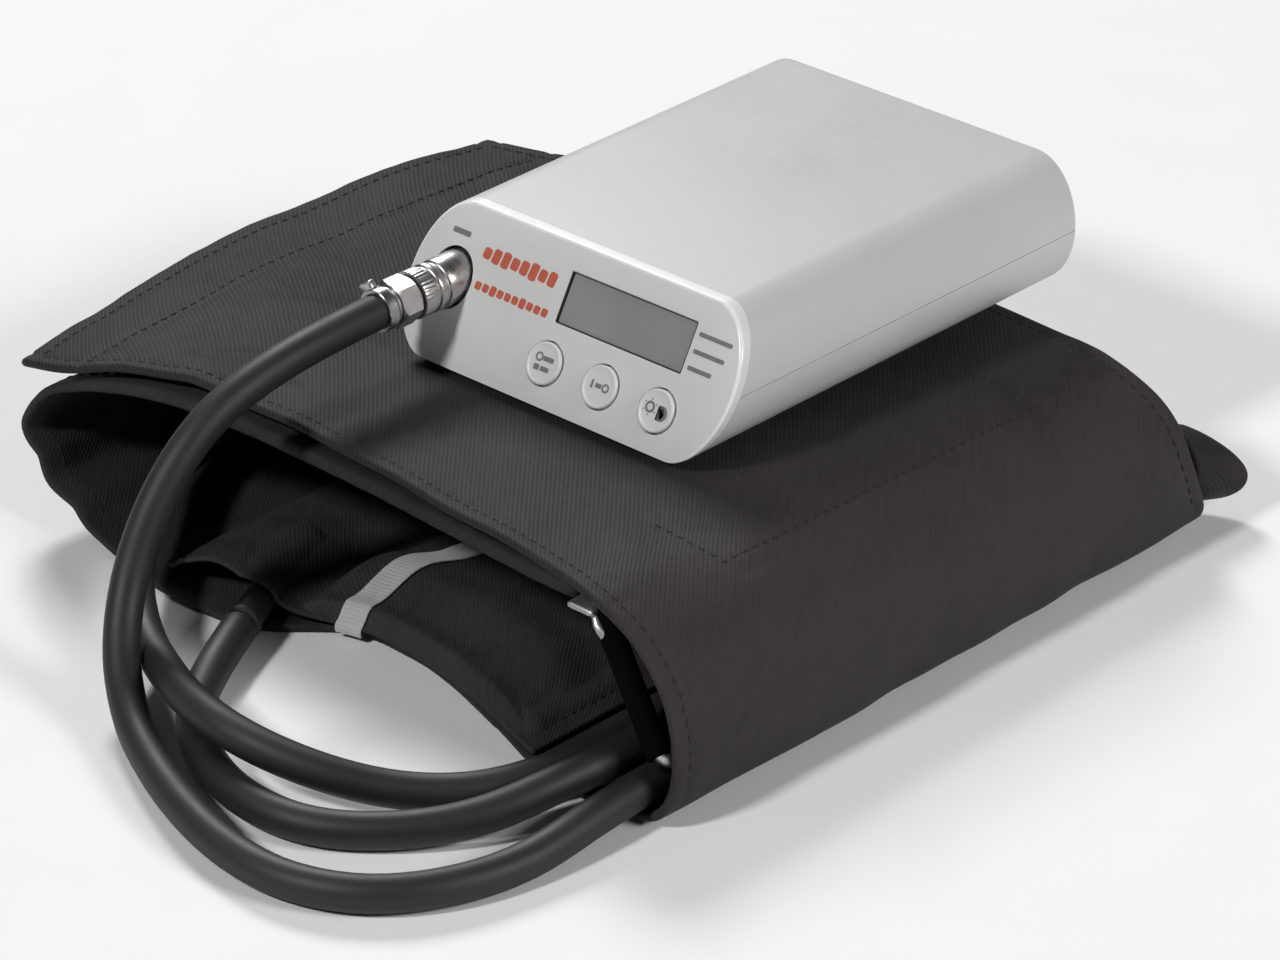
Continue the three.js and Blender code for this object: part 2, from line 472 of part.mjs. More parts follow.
// wire swept round the closed loop, one ring of vertices per point
function loopTube(points, r, sides, up) {
  const n = points.length, pos = [], idx = [];
  for (let i = 0; i < n; i++) {
    const t = points[(i + 1) % n].clone().sub(points[(i + n - 1) % n]).normalize();
    const s = up.clone().cross(t).normalize();
    const w = t.clone().cross(s).normalize();
    for (let k = 0; k < sides; k++) {
      const a = 2 * Math.PI * k / sides;
      const p = points[i].clone().addScaledVector(s, r * Math.cos(a)).addScaledVector(w, r * Math.sin(a));
      pos.push(p.x, p.y, p.z);
    }
  }
  for (let i = 0; i < n; i++) for (let k = 0; k < sides; k++) {
    const a = i * sides + k, b = i * sides + (k + 1) % sides, c = ((i + 1) % n) * sides + k, d = ((i + 1) % n) * sides + (k + 1) % sides;
    idx.push(a, b, d, a, d, c);
  }
  const g = new THREE.BufferGeometry();
  g.setAttribute('position', new THREE.Float32BufferAttribute(pos, 3));
  let vol = 0;
  const q = i => new THREE.Vector3(pos[3 * i], pos[3 * i + 1], pos[3 * i + 2]);
  for (let i = 0; i < idx.length; i += 3) vol += q(idx[i]).dot(q(idx[i + 1]).cross(q(idx[i + 2])));
  if (vol < 0) for (let i = 0; i < idx.length; i += 3) [idx[i + 1], idx[i + 2]] = [idx[i + 2], idx[i + 1]];
  g.setIndex(idx);
  g.computeVertexNormals();
  return g;
}
const ringUp = new THREE.Vector3(RING.b[0] - RING.a[0], 0, RING.b[1] - RING.a[1]).cross(new THREE.Vector3(0, 1, 0)).normalize();
add(cuff, 'metal_ring', loopTube(ringPts, RING.r, 10, ringUp), M.steel);

// cloth loop that holds the ring's inner bar at the end of the inner layer
const loopSection = [];
for (let i = 0; i <= 12; i++) {
  const t = Math.PI * 0.80 - Math.PI * 1.60 * i / 12;
  loopSection.push([RING.a[0] + 3.3 * Math.cos(t), RING.a[1] + 3.3 * Math.sin(t) * 0.92]);
}
loopSection.unshift([45.7, RING.a[1] + 1.15]);
loopSection.push([45.7, RING.a[1] - 0.75]);
const loopTrack = track(loopSection);
add(cuff, 'ring_loop', sheet((u, v) => {
  const [x, z] = loopTrack(u);
  return new THREE.Vector3(x, -31 + 120 * v, z - 0.18 - 3.3 * (-31 + 120 * v + 37.5) / 134 );
}, () => 1.1, 32, 4), M.clothB);

// rounded tongue of cloth at the back end of the right fold
add(cuff, 'fold_tongue', sheet((u, v) => {
  const a = (-78 + 156 * u) * Math.PI / 180, c = Math.cos(a);
  return new THREE.Vector3(66 + (9.5 + 3.5 * v) * c, 102.2 + 10 * v * c ** 0.7,
    -27.2 - 2.6 * v * c + (8.2 - 0.6 * v) * Math.sin(a) - v * Math.max(0, Math.sin(2 * a)));
}, () => 1.6, 16, 5), M.cloth);

// ---------------------------------------------------------------------- hose
// one length, from the coupling, down to the table, into the right fold, round
// inside the cuff, out at the left, back into the right fold, round again and
// out to the bladder's tube
const ROUTE = [[-31.3,-9.0,14.1],[-30.8,-24.4,13.9],[-30.8,-39.8,12.4],[-31.8,-54.2,7.4],[-32.4,-65.8,-2.8],[-31.8,-74.4,-15.5],[-26.3,-82.8,-27.1],[-15.0,-90.6,-33.7],[-1.4,-97.8,-34.5],[12.8,-103.8,-34.5],[27.7,-108.0,-34.5],[43.0,-108.6,-34.5],[57.1,-102.7,-34.5],[66.4,-90.6,-34.5],[70.3,-75.7,-34.5],[70.9,-60.3,-32.6],[70.4,-44.9,-32.3],[70.4,-29.5,-32.3],[70.3,-14.1,-32.4],[70.2,1.4,-32.4],[70.0,16.8,-32.3],[68.6,32.2,-31.6],[64.9,47.1,-30.4],[58.5,61.1,-29.3],[48.9,73.1,-28.5],[36.1,81.7,-28.3],[21.5,86.6,-28.4],[6.2,88.3,-28.4],[-9.2,87.7,-28.4],[-24.5,85.3,-28.4],[-39.2,80.8,-28.4],[-52.7,73.4,-28.4],[-63.7,62.6,-28.3],[-71.4,49.2,-28.0],[-76.0,34.6,-27.6],[-77.8,19.2,-27.2],[-77.6,3.8,-26.9],[-76.5,-11.6,-26.7],[-72.4,-26.4,-26.6],[-64.0,-39.4,-26.4],[-54.8,-51.7,-26.5],[-44.3,-63.0,-27.7],[-32.6,-71.4,-30.3],[-19.3,-78.9,-29.0],[-4.7,-85.9,-27.0],[10.4,-88.9,-26.9],[24.8,-85.0,-29.8],[37.0,-76.2,-33.4],[48.2,-65.7,-33.8],[54.9,-52.0,-32.6],[56.8,-36.7,-32.5],[56.8,-21.3,-32.4],[56.3,-5.9,-32.4],[55.8,9.6,-32.4],[55.7,25.0,-32.1],[55.2,40.4,-31.1],[49.2,54.4,-29.7],[37.7,64.4,-28.7],[22.8,68.0,-28.5],[8.1,63.9,-28.4],[-2.8,53.2,-28.4],[-7.0,38.6,-28.4],[-3.5,23.7,-28.4],[6.7,12.3,-28.4],[20.9,6.5,-28.1],[36.0,3.3,-26.4],[50.3,-2.0,-25.1],[60.5,-13.3,-25.3],[63.8,-28.1,-27.9],[63.4,-43.4,-29.2],[60.9,-58.6,-30.3],[55.6,-72.8,-33.0],[45.9,-84.7,-34.5],[33.4,-93.5,-34.5],[18.2,-94.5,-34.5],[3.6,-89.8,-34.5],[-9.1,-81.1,-34.5],[-18.1,-68.7,-34.1],[-25.25,-54.45,-33.0]];
add(root, 'air_hose', tube(ROUTE.map(([x, y, z]) => [x, y, Math.max(z, -34.4)]), HOSE_R, 10, 78), M.hose);

export default root;
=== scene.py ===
import math
import random

import bmesh
import bpy
import numpy as np
from mathutils import Matrix, Vector


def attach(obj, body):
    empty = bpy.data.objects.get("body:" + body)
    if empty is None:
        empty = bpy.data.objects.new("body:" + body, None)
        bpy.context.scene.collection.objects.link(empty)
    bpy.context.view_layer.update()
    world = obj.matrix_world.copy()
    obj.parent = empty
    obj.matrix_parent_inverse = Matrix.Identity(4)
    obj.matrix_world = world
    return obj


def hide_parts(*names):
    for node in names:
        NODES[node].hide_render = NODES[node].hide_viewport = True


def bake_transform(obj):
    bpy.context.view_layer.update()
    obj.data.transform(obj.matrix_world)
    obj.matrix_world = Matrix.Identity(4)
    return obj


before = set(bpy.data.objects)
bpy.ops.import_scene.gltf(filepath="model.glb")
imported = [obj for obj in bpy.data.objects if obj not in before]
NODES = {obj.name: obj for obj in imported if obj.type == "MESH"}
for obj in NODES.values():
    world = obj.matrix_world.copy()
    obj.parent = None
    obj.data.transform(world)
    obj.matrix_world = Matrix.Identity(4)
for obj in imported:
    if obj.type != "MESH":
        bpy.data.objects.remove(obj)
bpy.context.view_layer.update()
scene = bpy.context.scene
RNG = np.random.default_rng(7)

# The recorder's own frame, in millimetres, has its origin at the middle of the
# housing's lower front edge. to_row() turns it into the row's frame in metres.
SHIFT = np.array([0.0, -50.0, 38.0])


def to_row(p):
    return (np.asarray(p, float) + SHIFT) / 1000.0


def vec(x, y, z):
    return Vector(to_row([x, y, z]))


# ------------------------------------------------------------------ camera
AZ, EL, ROLL = 0.7652645, 0.4889146, -0.0139608
fwd = Vector((-math.sin(AZ) * math.cos(EL), math.cos(AZ) * math.cos(EL), -math.sin(EL)))
r0 = fwd.cross(Vector((0, 0, 1))).normalized()
u0 = r0.cross(fwd)
right = r0 * math.cos(ROLL) + u0 * math.sin(ROLL)
up = -r0 * math.sin(ROLL) + u0 * math.cos(ROLL)
cam = bpy.data.objects.new("camera", bpy.data.cameras.new("camera"))
scene.collection.objects.link(cam)
m = Matrix.Identity(4)
m.col[0][:3], m.col[1][:3], m.col[2][:3] = right, up, -fwd
m.translation = vec(681.4546, -682.7042, 497.9733)
cam.matrix_world = m
cam.data.sensor_fit = "HORIZONTAL"
cam.data.sensor_width = 36.0
cam.data.lens = 5838.0517 / 1280 * 36
cam.data.clip_start, cam.data.clip_end = 0.05, 20
scene.camera = cam
scene.view_settings.view_transform = "Standard"
scene.view_settings.look = "None"


# --------------------------------------------------------------- materials
class Mat:
    """A node material with short calls for its nodes."""

    def __init__(self, name, color=(0.5, 0.5, 0.5), rough=0.5, metal=0.0, **sockets):
        self.m = bpy.data.materials.new(name)
        self.m.use_nodes = True
        self.nt = self.m.node_tree
        self.b = self.nt.nodes["Principled BSDF"]
        self.set("Base Color", (*color, 1))
        self.set("Roughness", rough)
        self.set("Metallic", metal)
        for k, v in sockets.items():
            self.set(k.replace("_", " "), v)

    def set(self, socket, value):
        self.b.inputs[socket].default_value = value

    def node(self, kind, **props):
        n = self.nt.nodes.new("ShaderNode" + kind)
        for k, v in props.items():
            setattr(n, k, v)
        return n

    def link(self, a, b):
        self.nt.links.new(a, b)
        return b

    def math(self, op, a, b=None, c=None):
        n = self.node("Math", operation=op)
        for i, x in enumerate((a, b, c)):
            if x is None:
                continue
            if isinstance(x, (int, float)):
                n.inputs[i].default_value = x
            else:
                self.link(x, n.inputs[i])
        return n.outputs[0]

    def coords(self):
        return self.node("TexCoord").outputs["Object"]

    def noise(self, scale, detail=2.0, rough=0.5, at=None, stretch=None, distortion=0.0):
        at = at or self.coords()
        if stretch:
            mp = self.node("Mapping")
            mp.inputs["Scale"].default_value = stretch
            self.link(at, mp.inputs["Vector"])
            at = mp.outputs[0]
        n = self.node("TexNoise")
        n.inputs["Scale"].default_value = scale
        n.inputs["Detail"].default_value = detail
        n.inputs["Roughness"].default_value = rough
        n.inputs["Distortion"].default_value = distortion
        self.link(at, n.inputs["Vector"])
        return n.outputs["Fac"]

    def ramp(self, fac, stops):
        n = self.node("ValToRGB")
        els = n.color_ramp.elements
        while len(els) < len(stops):
            els.new(0.5)
        for e, (p, c) in zip(els, stops):
            e.position = p
            e.color = (*c, 1) if len(c) == 3 else c
        self.link(fac, n.inputs["Fac"])
        return n.outputs["Color"]

    def mix(self, fac, a, b, blend="MIX"):
        n = self.node("Mix", data_type="RGBA", blend_type=blend)
        for sock, x in ((n.inputs[0], fac), (n.inputs[6], a), (n.inputs[7], b)):
            if isinstance(x, (int, float)):
                sock.default_value = x
            elif isinstance(x, tuple):
                sock.default_value = (*x, 1) if len(x) == 3 else x
            else:
                self.link(x, sock)
        return n.outputs[2]

    def map(self, v, a0, a1, b0, b1):
        n = self.node("MapRange")
        self.link(v, n.inputs["Value"])
        for k, x in zip(("From Min", "From Max", "To Min", "To Max"), (a0, a1, b0, b1)):
            n.inputs[k].default_value = x
        return n.outputs["Result"]

    def color(self, out):
        self.link(out, self.b.inputs["Base Color"])

    def rough(self, out):
        self.link(out, self.b.inputs["Roughness"])

    def bump(self, height, strength, distance, under=None):
        n = self.node("Bump")
        n.inputs["Strength"].default_value = strength
        n.inputs["Distance"].default_value = distance
        self.link(height, n.inputs["Height"])
        if under is not None:
            self.link(under, n.inputs["Normal"])
        self.link(n.outputs[0], self.b.inputs["Normal"])
        return n.outputs[0]


def scaled(c, k):
    return tuple(min(1.0, x * k) for x in c)


def plastic(name, color, rough=0.42, grain=0.5, wear=0.04):
    """Moulded plastic: spark-eroded grain, faint flow marks and handling shine."""
    a = Mat(name, color, rough)
    big = a.noise(28, 3, 0.55)
    fine = a.noise(2600, 2, 0.6)
    spots = a.noise(420, 2, 0.5)
    v = a.math("ADD", a.math("MULTIPLY", big, 0.7), a.math("MULTIPLY", fine, 0.3))
    a.color(a.ramp(v, [(0.3, scaled(color, 1 - wear)), (0.7, scaled(color, 1 + wear))]))
    a.rough(a.map(a.math("ADD", big, a.math("MULTIPLY", spots, 0.6)), 0.5, 1.15, rough - 0.07, rough + 0.09))
    a.bump(a.math("ADD", fine, a.math("MULTIPLY", spots, 0.35)), 0.22 * grain, 0.00006)
    return a.m


def steel(name, color=(0.60, 0.60, 0.61), rough=0.24, axis=(1, 1, 1)):
    """Nickel-plated turned metal with fine tool marks."""
    a = Mat(name, color, rough, 1.0)
    lines = a.noise(900, 2, 0.6, stretch=axis)
    smudge = a.noise(120, 3, 0.6)
    a.color(a.ramp(smudge, [(0.3, scaled(color, 0.88)), (0.75, scaled(color, 1.08))]))
    a.rough(a.map(a.math("ADD", lines, smudge), 0.7, 1.3, rough - 0.08, rough + 0.14))
    a.bump(lines, 0.12, 0.00004)
    return a.m


def twill(name, dark, light, mirror=False, pitch=0.85, bump=0.28, uv="cloth", painted_sheen=None):
    """Twill cloth: diagonal ribs at their real pitch (mm), each made of short
    overlapping yarns, with uneven threads, loose fibres and a little fading. It
    reads the mesh's own map, which is in metres. Its last argument, when given,
    lightens a band along the length: painted sheen where the cloth turns."""
    a = Mat(name, dark, 0.62, Sheen_Weight=0.02, Sheen_Roughness=0.45)
    a.set("Specular IOR Level", 0.10)
    mp = a.node("UVMap", uv_map=uv)
    sep = a.node("SeparateXYZ")
    a.link(mp.outputs[0], sep.inputs[0])
    u, v = sep.outputs[0], sep.outputs[1]
    along = a.math("SUBTRACT" if mirror else "ADD", u, v)
    other = a.math("ADD" if mirror else "SUBTRACT", u, v)
    k = 2 * math.pi / (pitch / 1000 * math.sqrt(2))
    rib = a.math("SINE", a.math("MULTIPLY", along, k))
    yarn = a.math("SINE", a.math("ADD", a.math("MULTIPLY", other, k * 0.55), a.math("MULTIPLY", along, k * 0.5)))
    over = a.math("ADD", a.math("MULTIPLY", rib, 0.72), a.math("MULTIPLY", yarn, 0.28))
    com = a.node("CombineXYZ")
    a.link(along, com.inputs[0])
    a.link(other, com.inputs[1])
    threads = a.noise(1.0, 2, 0.6, at=com.outputs[0], stretch=(1100, 70, 1))
    hair = a.noise(4200, 2, 0.7)
    worn = a.noise(22, 3, 0.6)
    patch = a.noise(75, 3, 0.6)
    t = a.math("MULTIPLY_ADD", over, 0.07, 0.5)
    t = a.math("ADD", t, a.math("MULTIPLY", a.math("ADD", threads, -0.5), 0.55))
    t = a.math("ADD", t, a.math("MULTIPLY", a.math("ADD", hair, -0.5), 0.30))
    t = a.math("ADD", t, a.math("MULTIPLY", a.math("ADD", a.math("ADD", worn, patch), -1.0), 0.48))
    if painted_sheen:
        # painted sheen: the cloth is made lighter along its turn, where light glances off it, between places along its
        # length in metres
        r0, r1, r2, r3 = painted_sheen
        sheen_band = a.math("SUBTRACT", a.map(u, r0, r1, 0, 1), a.map(u, r2, r3, 0, 1))
        t = a.math("ADD", t, a.math("MULTIPLY", sheen_band, 0.30))
    a.color(a.ramp(t, [(0.15, dark), (0.85, light)]))
    a.rough(a.map(over, -1, 1, 0.68, 0.56))
    h = a.math("ADD", a.math("MULTIPLY", over, 0.55), a.math("ADD", a.math("MULTIPLY", hair, 0.3), a.math("MULTIPLY", threads, 0.3)))
    a.bump(h, bump, 0.00022)
    return a.m


def soft_black(name, color, scale, strength, rough=0.9, gloss=0.5):
    a = Mat(name, color, rough)
    a.set("Specular IOR Level", gloss)
    n1, n2 = a.noise(scale, 3, 0.7), a.noise(scale / 14, 2, 0.5)
    a.color(a.ramp(a.math("ADD", a.math("MULTIPLY", n1, 0.6), a.math("MULTIPLY", n2, 0.4)), [(0.3, scaled(color, 0.6)), (0.7, scaled(color, 1.5))]))
    a.rough(a.map(n1, 0.3, 0.7, rough - 0.1, min(1, rough + 0.08)))
    a.bump(n1, strength, 0.0003)
    return a.m


def flat_print(name, color):
    a = Mat(name, color, 0.55)
    n = a.noise(1500, 2, 0.7)
    a.color(a.ramp(n, [(0.3, scaled(color, 0.85)), (0.7, scaled(color, 1.12))]))
    a.bump(n, 0.15, 0.00003)
    return a.m


SHELL = (0.562, 0.558, 0.548)
PANEL = (0.735, 0.732, 0.726)
M_SHELL = plastic("shell_plastic", SHELL, 0.45, 0.6)
M_PANEL = plastic("panel_plastic", PANEL, 0.42, 0.35)
M_KEY = plastic("key_plastic", scaled(PANEL, 1.04), 0.4, 0.3)
M_CUP = plastic("port_plastic", (0.045, 0.044, 0.043), 0.5, 0.5)
M_TRAY = plastic("tray_plastic", (0.30, 0.30, 0.29), 0.5, 0.6)
M_BLACKP = plastic("black_plastic", (0.022, 0.022, 0.022), 0.42, 0.6, 0.2)
M_STEEL = steel("plated_steel", (0.47, 0.465, 0.458), 0.29, (0.25, 6, 0.25))
M_RING = steel("ring_steel", (0.62, 0.62, 0.625), 0.30, (6, 0.3, 6))
# lighter, glossier plastic for the panel's rim: its lighter colour is partly the rim's own tone and partly painted
# highlight
M_RIM_HIGHLIGHT = plastic("panel_rim_painted_highlight", (0.88, 0.877, 0.868), 0.24, 0.15)
M_MOTOR = steel("motor_can", (0.55, 0.56, 0.57), 0.3, (0.3, 4, 4))
# the cuff cloth carries a painted sheen band along its right turn
M_CLOTH = twill("cuff_cloth_painted_sheen", (0.0168, 0.0151, 0.0144), (0.0450, 0.0407, 0.0390), painted_sheen=(0.136, 0.170, 0.190, 0.226))
# the pocket cover and lining are the cuff twill made lighter, partly as painted light that makes up for the light the
# cuff's inside lacks
M_INNER_PAINTED_LIGHT = twill("pocket_cloth_painted_light", (0.0240, 0.0217, 0.0208), (0.0630, 0.0577, 0.0554), pitch=0.72, bump=0.34)
M_LINING_PAINTED_LIGHT = twill("cuff_lining_painted_light", (0.0190, 0.0173, 0.0166), (0.0505, 0.0463, 0.0446), mirror=True, pitch=0.72, bump=0.34)
M_HOOK = soft_black("hook_tape", (0.016, 0.016, 0.016), 1500, 0.9)
M_THREAD = soft_black("sewing_thread", (0.0225, 0.0205, 0.0197), 5000, 0.4, 0.85, 0.3)
# near-black, almost glossless cloth for the ring's sleeve: painted shade
M_SHADE_SLEEVE = soft_black("sleeve_cloth_painted_shade", (0.0030, 0.0029, 0.0028), 2600, 0.5, 0.95, 0.05)
M_PLATE = steel("plate_steel", (0.62, 0.62, 0.625), 0.45, (0.3, 6, 6))
M_RUBBER = soft_black("black_rubber", (0.018, 0.018, 0.018), 900, 0.15, 0.55)
M_RED = flat_print("red_print", (0.60, 0.113, 0.064))
M_GREY = flat_print("grey_print", (0.20, 0.198, 0.194))


def hose_material():
    a = Mat("hose_rubber", (0.0160, 0.0146, 0.0140), 0.52)
    a.set("Specular IOR Level", 0.50)
    dust, fine = a.noise(150, 4, 0.65), a.noise(2400, 2, 0.6)
    bloom = a.noise(26, 3, 0.6)
    v = a.math("ADD", a.math("MULTIPLY", dust, 0.5), a.math("MULTIPLY", bloom, 0.5))
    a.color(a.ramp(v, [(0.3, (0.0120, 0.0110, 0.0105)), (0.7, (0.0200, 0.0184, 0.0177))]))
    a.rough(a.map(v, 0.3, 0.7, 0.50, 0.62))
    a.bump(a.math("ADD", a.math("MULTIPLY", dust, 0.5), fine), 0.10, 0.00008)
    return a.m


def tape_material():
    """Woven ribbon: cross ribs, slight soiling."""
    color = (0.54, 0.528, 0.512)
    a = Mat("range_ribbon", color, 0.72, Sheen_Weight=0.3)
    mp = a.node("UVMap", uv_map="cloth")
    sep = a.node("SeparateXYZ")
    a.link(mp.outputs[0], sep.inputs[0])
    rib = a.math("SINE", a.math("MULTIPLY", sep.outputs[1], math.pi / 0.00042))
    hair, soil = a.noise(3200, 2, 0.7), a.noise(130, 3, 0.6)
    v = a.math("ADD", a.math("MULTIPLY_ADD", rib, 0.07, 0.3), a.math("ADD", a.math("MULTIPLY", hair, 0.3), a.math("MULTIPLY", soil, 0.3)))
    a.color(a.ramp(v, [(0.25, scaled(color, 0.72)), (0.85, scaled(color, 1.3))]))
    a.bump(a.math("ADD", rib, hair), 0.25, 0.00008)
    return a.m


def window_material():
    a = Mat("display_window", (0.235, 0.231, 0.223), 0.16)
    a.set("Coat Weight", 0.5)
    a.set("Coat Roughness", 0.08)
    n, big = a.noise(3000, 1, 0.5), a.noise(60, 2, 0.5)
    v = a.math("ADD", a.math("MULTIPLY", n, 0.25), a.math("MULTIPLY", big, 0.75))
    a.color(a.ramp(v, [(0.35, (0.310, 0.305, 0.296)), (0.65, (0.350, 0.345, 0.335))]))
    a.rough(a.map(big, 0.3, 0.7, 0.13, 0.22))
    return a.m


def cell_material():
    a = Mat("cell_wrapper", (0.05, 0.09, 0.22), 0.3, 0.3)
    sep = a.node("SeparateXYZ")
    a.link(a.coords(), sep.inputs[0])
    n = a.noise(300, 3, 0.6)
    x = a.math("ADD", a.math("ABSOLUTE", sep.outputs[0]), a.math("MULTIPLY", n, 0.0004))
    a.color(a.ramp(a.math("MULTIPLY", x, 38.0), [(0.60, (0.05, 0.09, 0.22)), (0.64, (0.62, 0.62, 0.60))]))
    a.bump(n, 0.1, 0.0001)
    return a.m


def board_material():
    a = Mat("circuit_board", (0.02, 0.14, 0.07), 0.35)
    cell = a.node("TexVoronoi", feature="DISTANCE_TO_EDGE")
    cell.inputs["Scale"].default_value = 420
    a.link(a.coords(), cell.inputs["Vector"])
    a.color(a.ramp(cell.outputs["Distance"], [(0.02, (0.05, 0.26, 0.13)), (0.09, (0.012, 0.09, 0.045))]))
    a.bump(cell.outputs["Distance"], 0.2, 0.0001)
    return a.m


M_HOSE, M_TAPE, M_WINDOW, M_CELL, M_BOARD = hose_material(), tape_material(), window_material(), cell_material(), board_material()


# ----------------------------------------------------------- mesh functions
def mesh_object(name, verts, faces, material, uv=None, uv_name="cloth", smooth=True, sharp=None):
    """verts in metres in the row's frame. sharp: edges over this angle stay crisp."""
    me = bpy.data.meshes.new(name)
    me.from_pydata([tuple(map(float, v)) for v in verts], [], [tuple(map(int, f)) for f in faces])
    me.update()
    if uv is not None:
        layer = me.uv_layers.new(name=uv_name)
        li = np.empty(len(me.loops), np.int32)
        me.loops.foreach_get("vertex_index", li)
        layer.data.foreach_set("uv", np.asarray(uv, np.float32)[li].ravel())
    me.polygons.foreach_set("use_smooth", [smooth] * len(me.polygons))
    if sharp is not None:
        mark_sharp(me, sharp)
    me.materials.append(material)
    ob = bpy.data.objects.new(name, me)
    scene.collection.objects.link(ob)
    return ob


def mark_sharp(me, degrees):
    bm = bmesh.new()
    bm.from_mesh(me)
    lim = math.radians(degrees)
    for e in bm.edges:
        if len(e.link_faces) == 2 and e.calc_face_angle(0) > lim:
            e.smooth = False
    bm.to_mesh(me)
    bm.free()


def outward(verts, faces):
    """Flips all faces if the closed mesh is inside out."""
    v = np.asarray(verts, float)
    vol = 0.0
    for f in faces:
        a = v[f[0]]
        for i in range(1, len(f) - 1):
            vol += float(np.dot(a, np.cross(v[f[i]], v[f[i + 1]])))
    return [tuple(reversed(f)) for f in faces] if vol < 0 else faces


def outward_quads(verts, quads):
    v = verts - verts.mean(0)
    a, b, c, d = (v[quads[:, i]] for i in range(4))
    vol = np.einsum("ij,ij->i", a, np.cross(b, c)).sum() + np.einsum("ij,ij->i", a, np.cross(c, d)).sum()
    return quads[:, ::-1] if vol < 0 else quads


def loft(loops, cap_start=True, cap_end=True, closed=True):
    """Skins a list of equal loops of points; returns verts, faces."""
    n = len(loops[0])
    verts = [p for l in loops for p in l]
    faces = []
    for i in range(len(loops) - 1):
        for j in range(n if closed else n - 1):
            a, b = i * n + j, i * n + (j + 1) % n
            faces.append((a, b, b + n, a + n))
    if cap_start:
        faces.append(tuple(range(n))[::-1])
    if cap_end:
        faces.append(tuple(range((len(loops) - 1) * n, len(loops) * n)))
    return verts, faces


def turned(profile, seg=64, ring=False):
    """Solid of revolution about local Z from (radius, height) pairs in mm.
    Points on the axis become one vertex; ring closes the profile on itself."""
    verts, rows = [], []
    for r, h in profile:
        if r < 1e-9:
            rows.append([len(verts)])
            verts.append((0, 0, h))
        else:
            rows.append(list(range(len(verts), len(verts) + seg)))
            verts += [(r * math.cos(2 * math.pi * k / seg), r * math.sin(2 * math.pi * k / seg), h) for k in range(seg)]
    faces = []
    pairs = list(zip(rows, rows[1:])) + ([(rows[-1], rows[0])] if ring else [])
    for a, b in pairs:
        if len(a) == 1 and len(b) == 1:
            continue
        for k in range(seg):
            k2 = (k + 1) % seg
            if len(a) == 1:
                faces.append((a[0], b[k2], b[k]))
            elif len(b) == 1:
                faces.append((a[k], a[k2], b[0]))
            else:
                faces.append((a[k], a[k2], b[k2], b[k]))
    return np.array(verts, float), outward(verts, faces)


def tmp_object(name, verts, faces):
    me = bpy.data.meshes.new(name)
    me.from_pydata([tuple(map(float, v)) for v in verts], [], [tuple(f) for f in faces])
    me.update()
    bm = bmesh.new()
    bm.from_mesh(me)
    bmesh.ops.recalc_face_normals(bm, faces=bm.faces)
    bm.to_mesh(me)
    bm.free()
    ob = bpy.data.objects.new(name, me)
    scene.collection.objects.link(ob)
    return ob


def apply_all(ob):
    dg = bpy.context.evaluated_depsgraph_get()
    me = bpy.data.meshes.new_from_object(ob.evaluated_get(dg))
    old = ob.data
    ob.modifiers.clear()
    ob.data = me
    bpy.data.meshes.remove(old)


def cut(ob, other, op="DIFFERENCE", keep=False):
    md = ob.modifiers.new("b", "BOOLEAN")
    md.operation, md.object, md.solver = op, other, "EXACT"
    bpy.context.view_layer.update()
    apply_all(ob)
    if not keep:
        me = other.data
        bpy.data.objects.remove(other)
        bpy.data.meshes.remove(me)


def box_tmp(x0, x1, y0, y1, z0, z1, matrix=None):
    v = [(x, y, z) for x in (x0, x1) for y in (y0, y1) for z in (z0, z1)]
    if matrix is not None:
        v = [tuple(matrix @ Vector(p)) for p in v]
    f = [(0, 1, 3, 2), (4, 6, 7, 5), (0, 4, 5, 1), (2, 3, 7, 6), (0, 2, 6, 4), (1, 5, 7, 3)]
    return tmp_object("t", v, f)


def turned_tmp(profile, matrix, seg=64):
    v, f = turned(profile, seg)
    return tmp_object("t", [tuple(matrix @ Vector(p)) for p in v], f)


def bevel(ob, width, angle=40, seg=2):
    md = ob.modifiers.new("bev", "BEVEL")
    md.width, md.segments, md.limit_method = width, seg, "ANGLE"
    md.angle_limit = math.radians(angle)
    md.use_clamp_overlap = True
    bpy.context.view_layer.update()
    apply_all(ob)


def finish_mm(ob, name, material, sharp=28):
    """Turns a working object in the recorder's millimetres into a finished piece."""
    ob.data.transform(Matrix.Translation(SHIFT.tolist()))
    ob.data.transform(Matrix.Scale(0.001, 4))
    ob.name = ob.data.name = name
    ob.data.materials.clear()
    ob.data.materials.append(material)
    ob.data.polygons.foreach_set("use_smooth", [True] * len(ob.data.polygons))
    mark_sharp(ob.data, sharp)
    ob.data.update()
    return ob


def from_local(name, verts, faces, matrix, material, sharp=30):
    """verts in mm in a local frame; matrix takes them to the recorder's frame."""
    v = to_row([tuple(matrix @ Vector(p)) for p in verts])
    return mesh_object(name, v, faces, material, sharp=sharp)


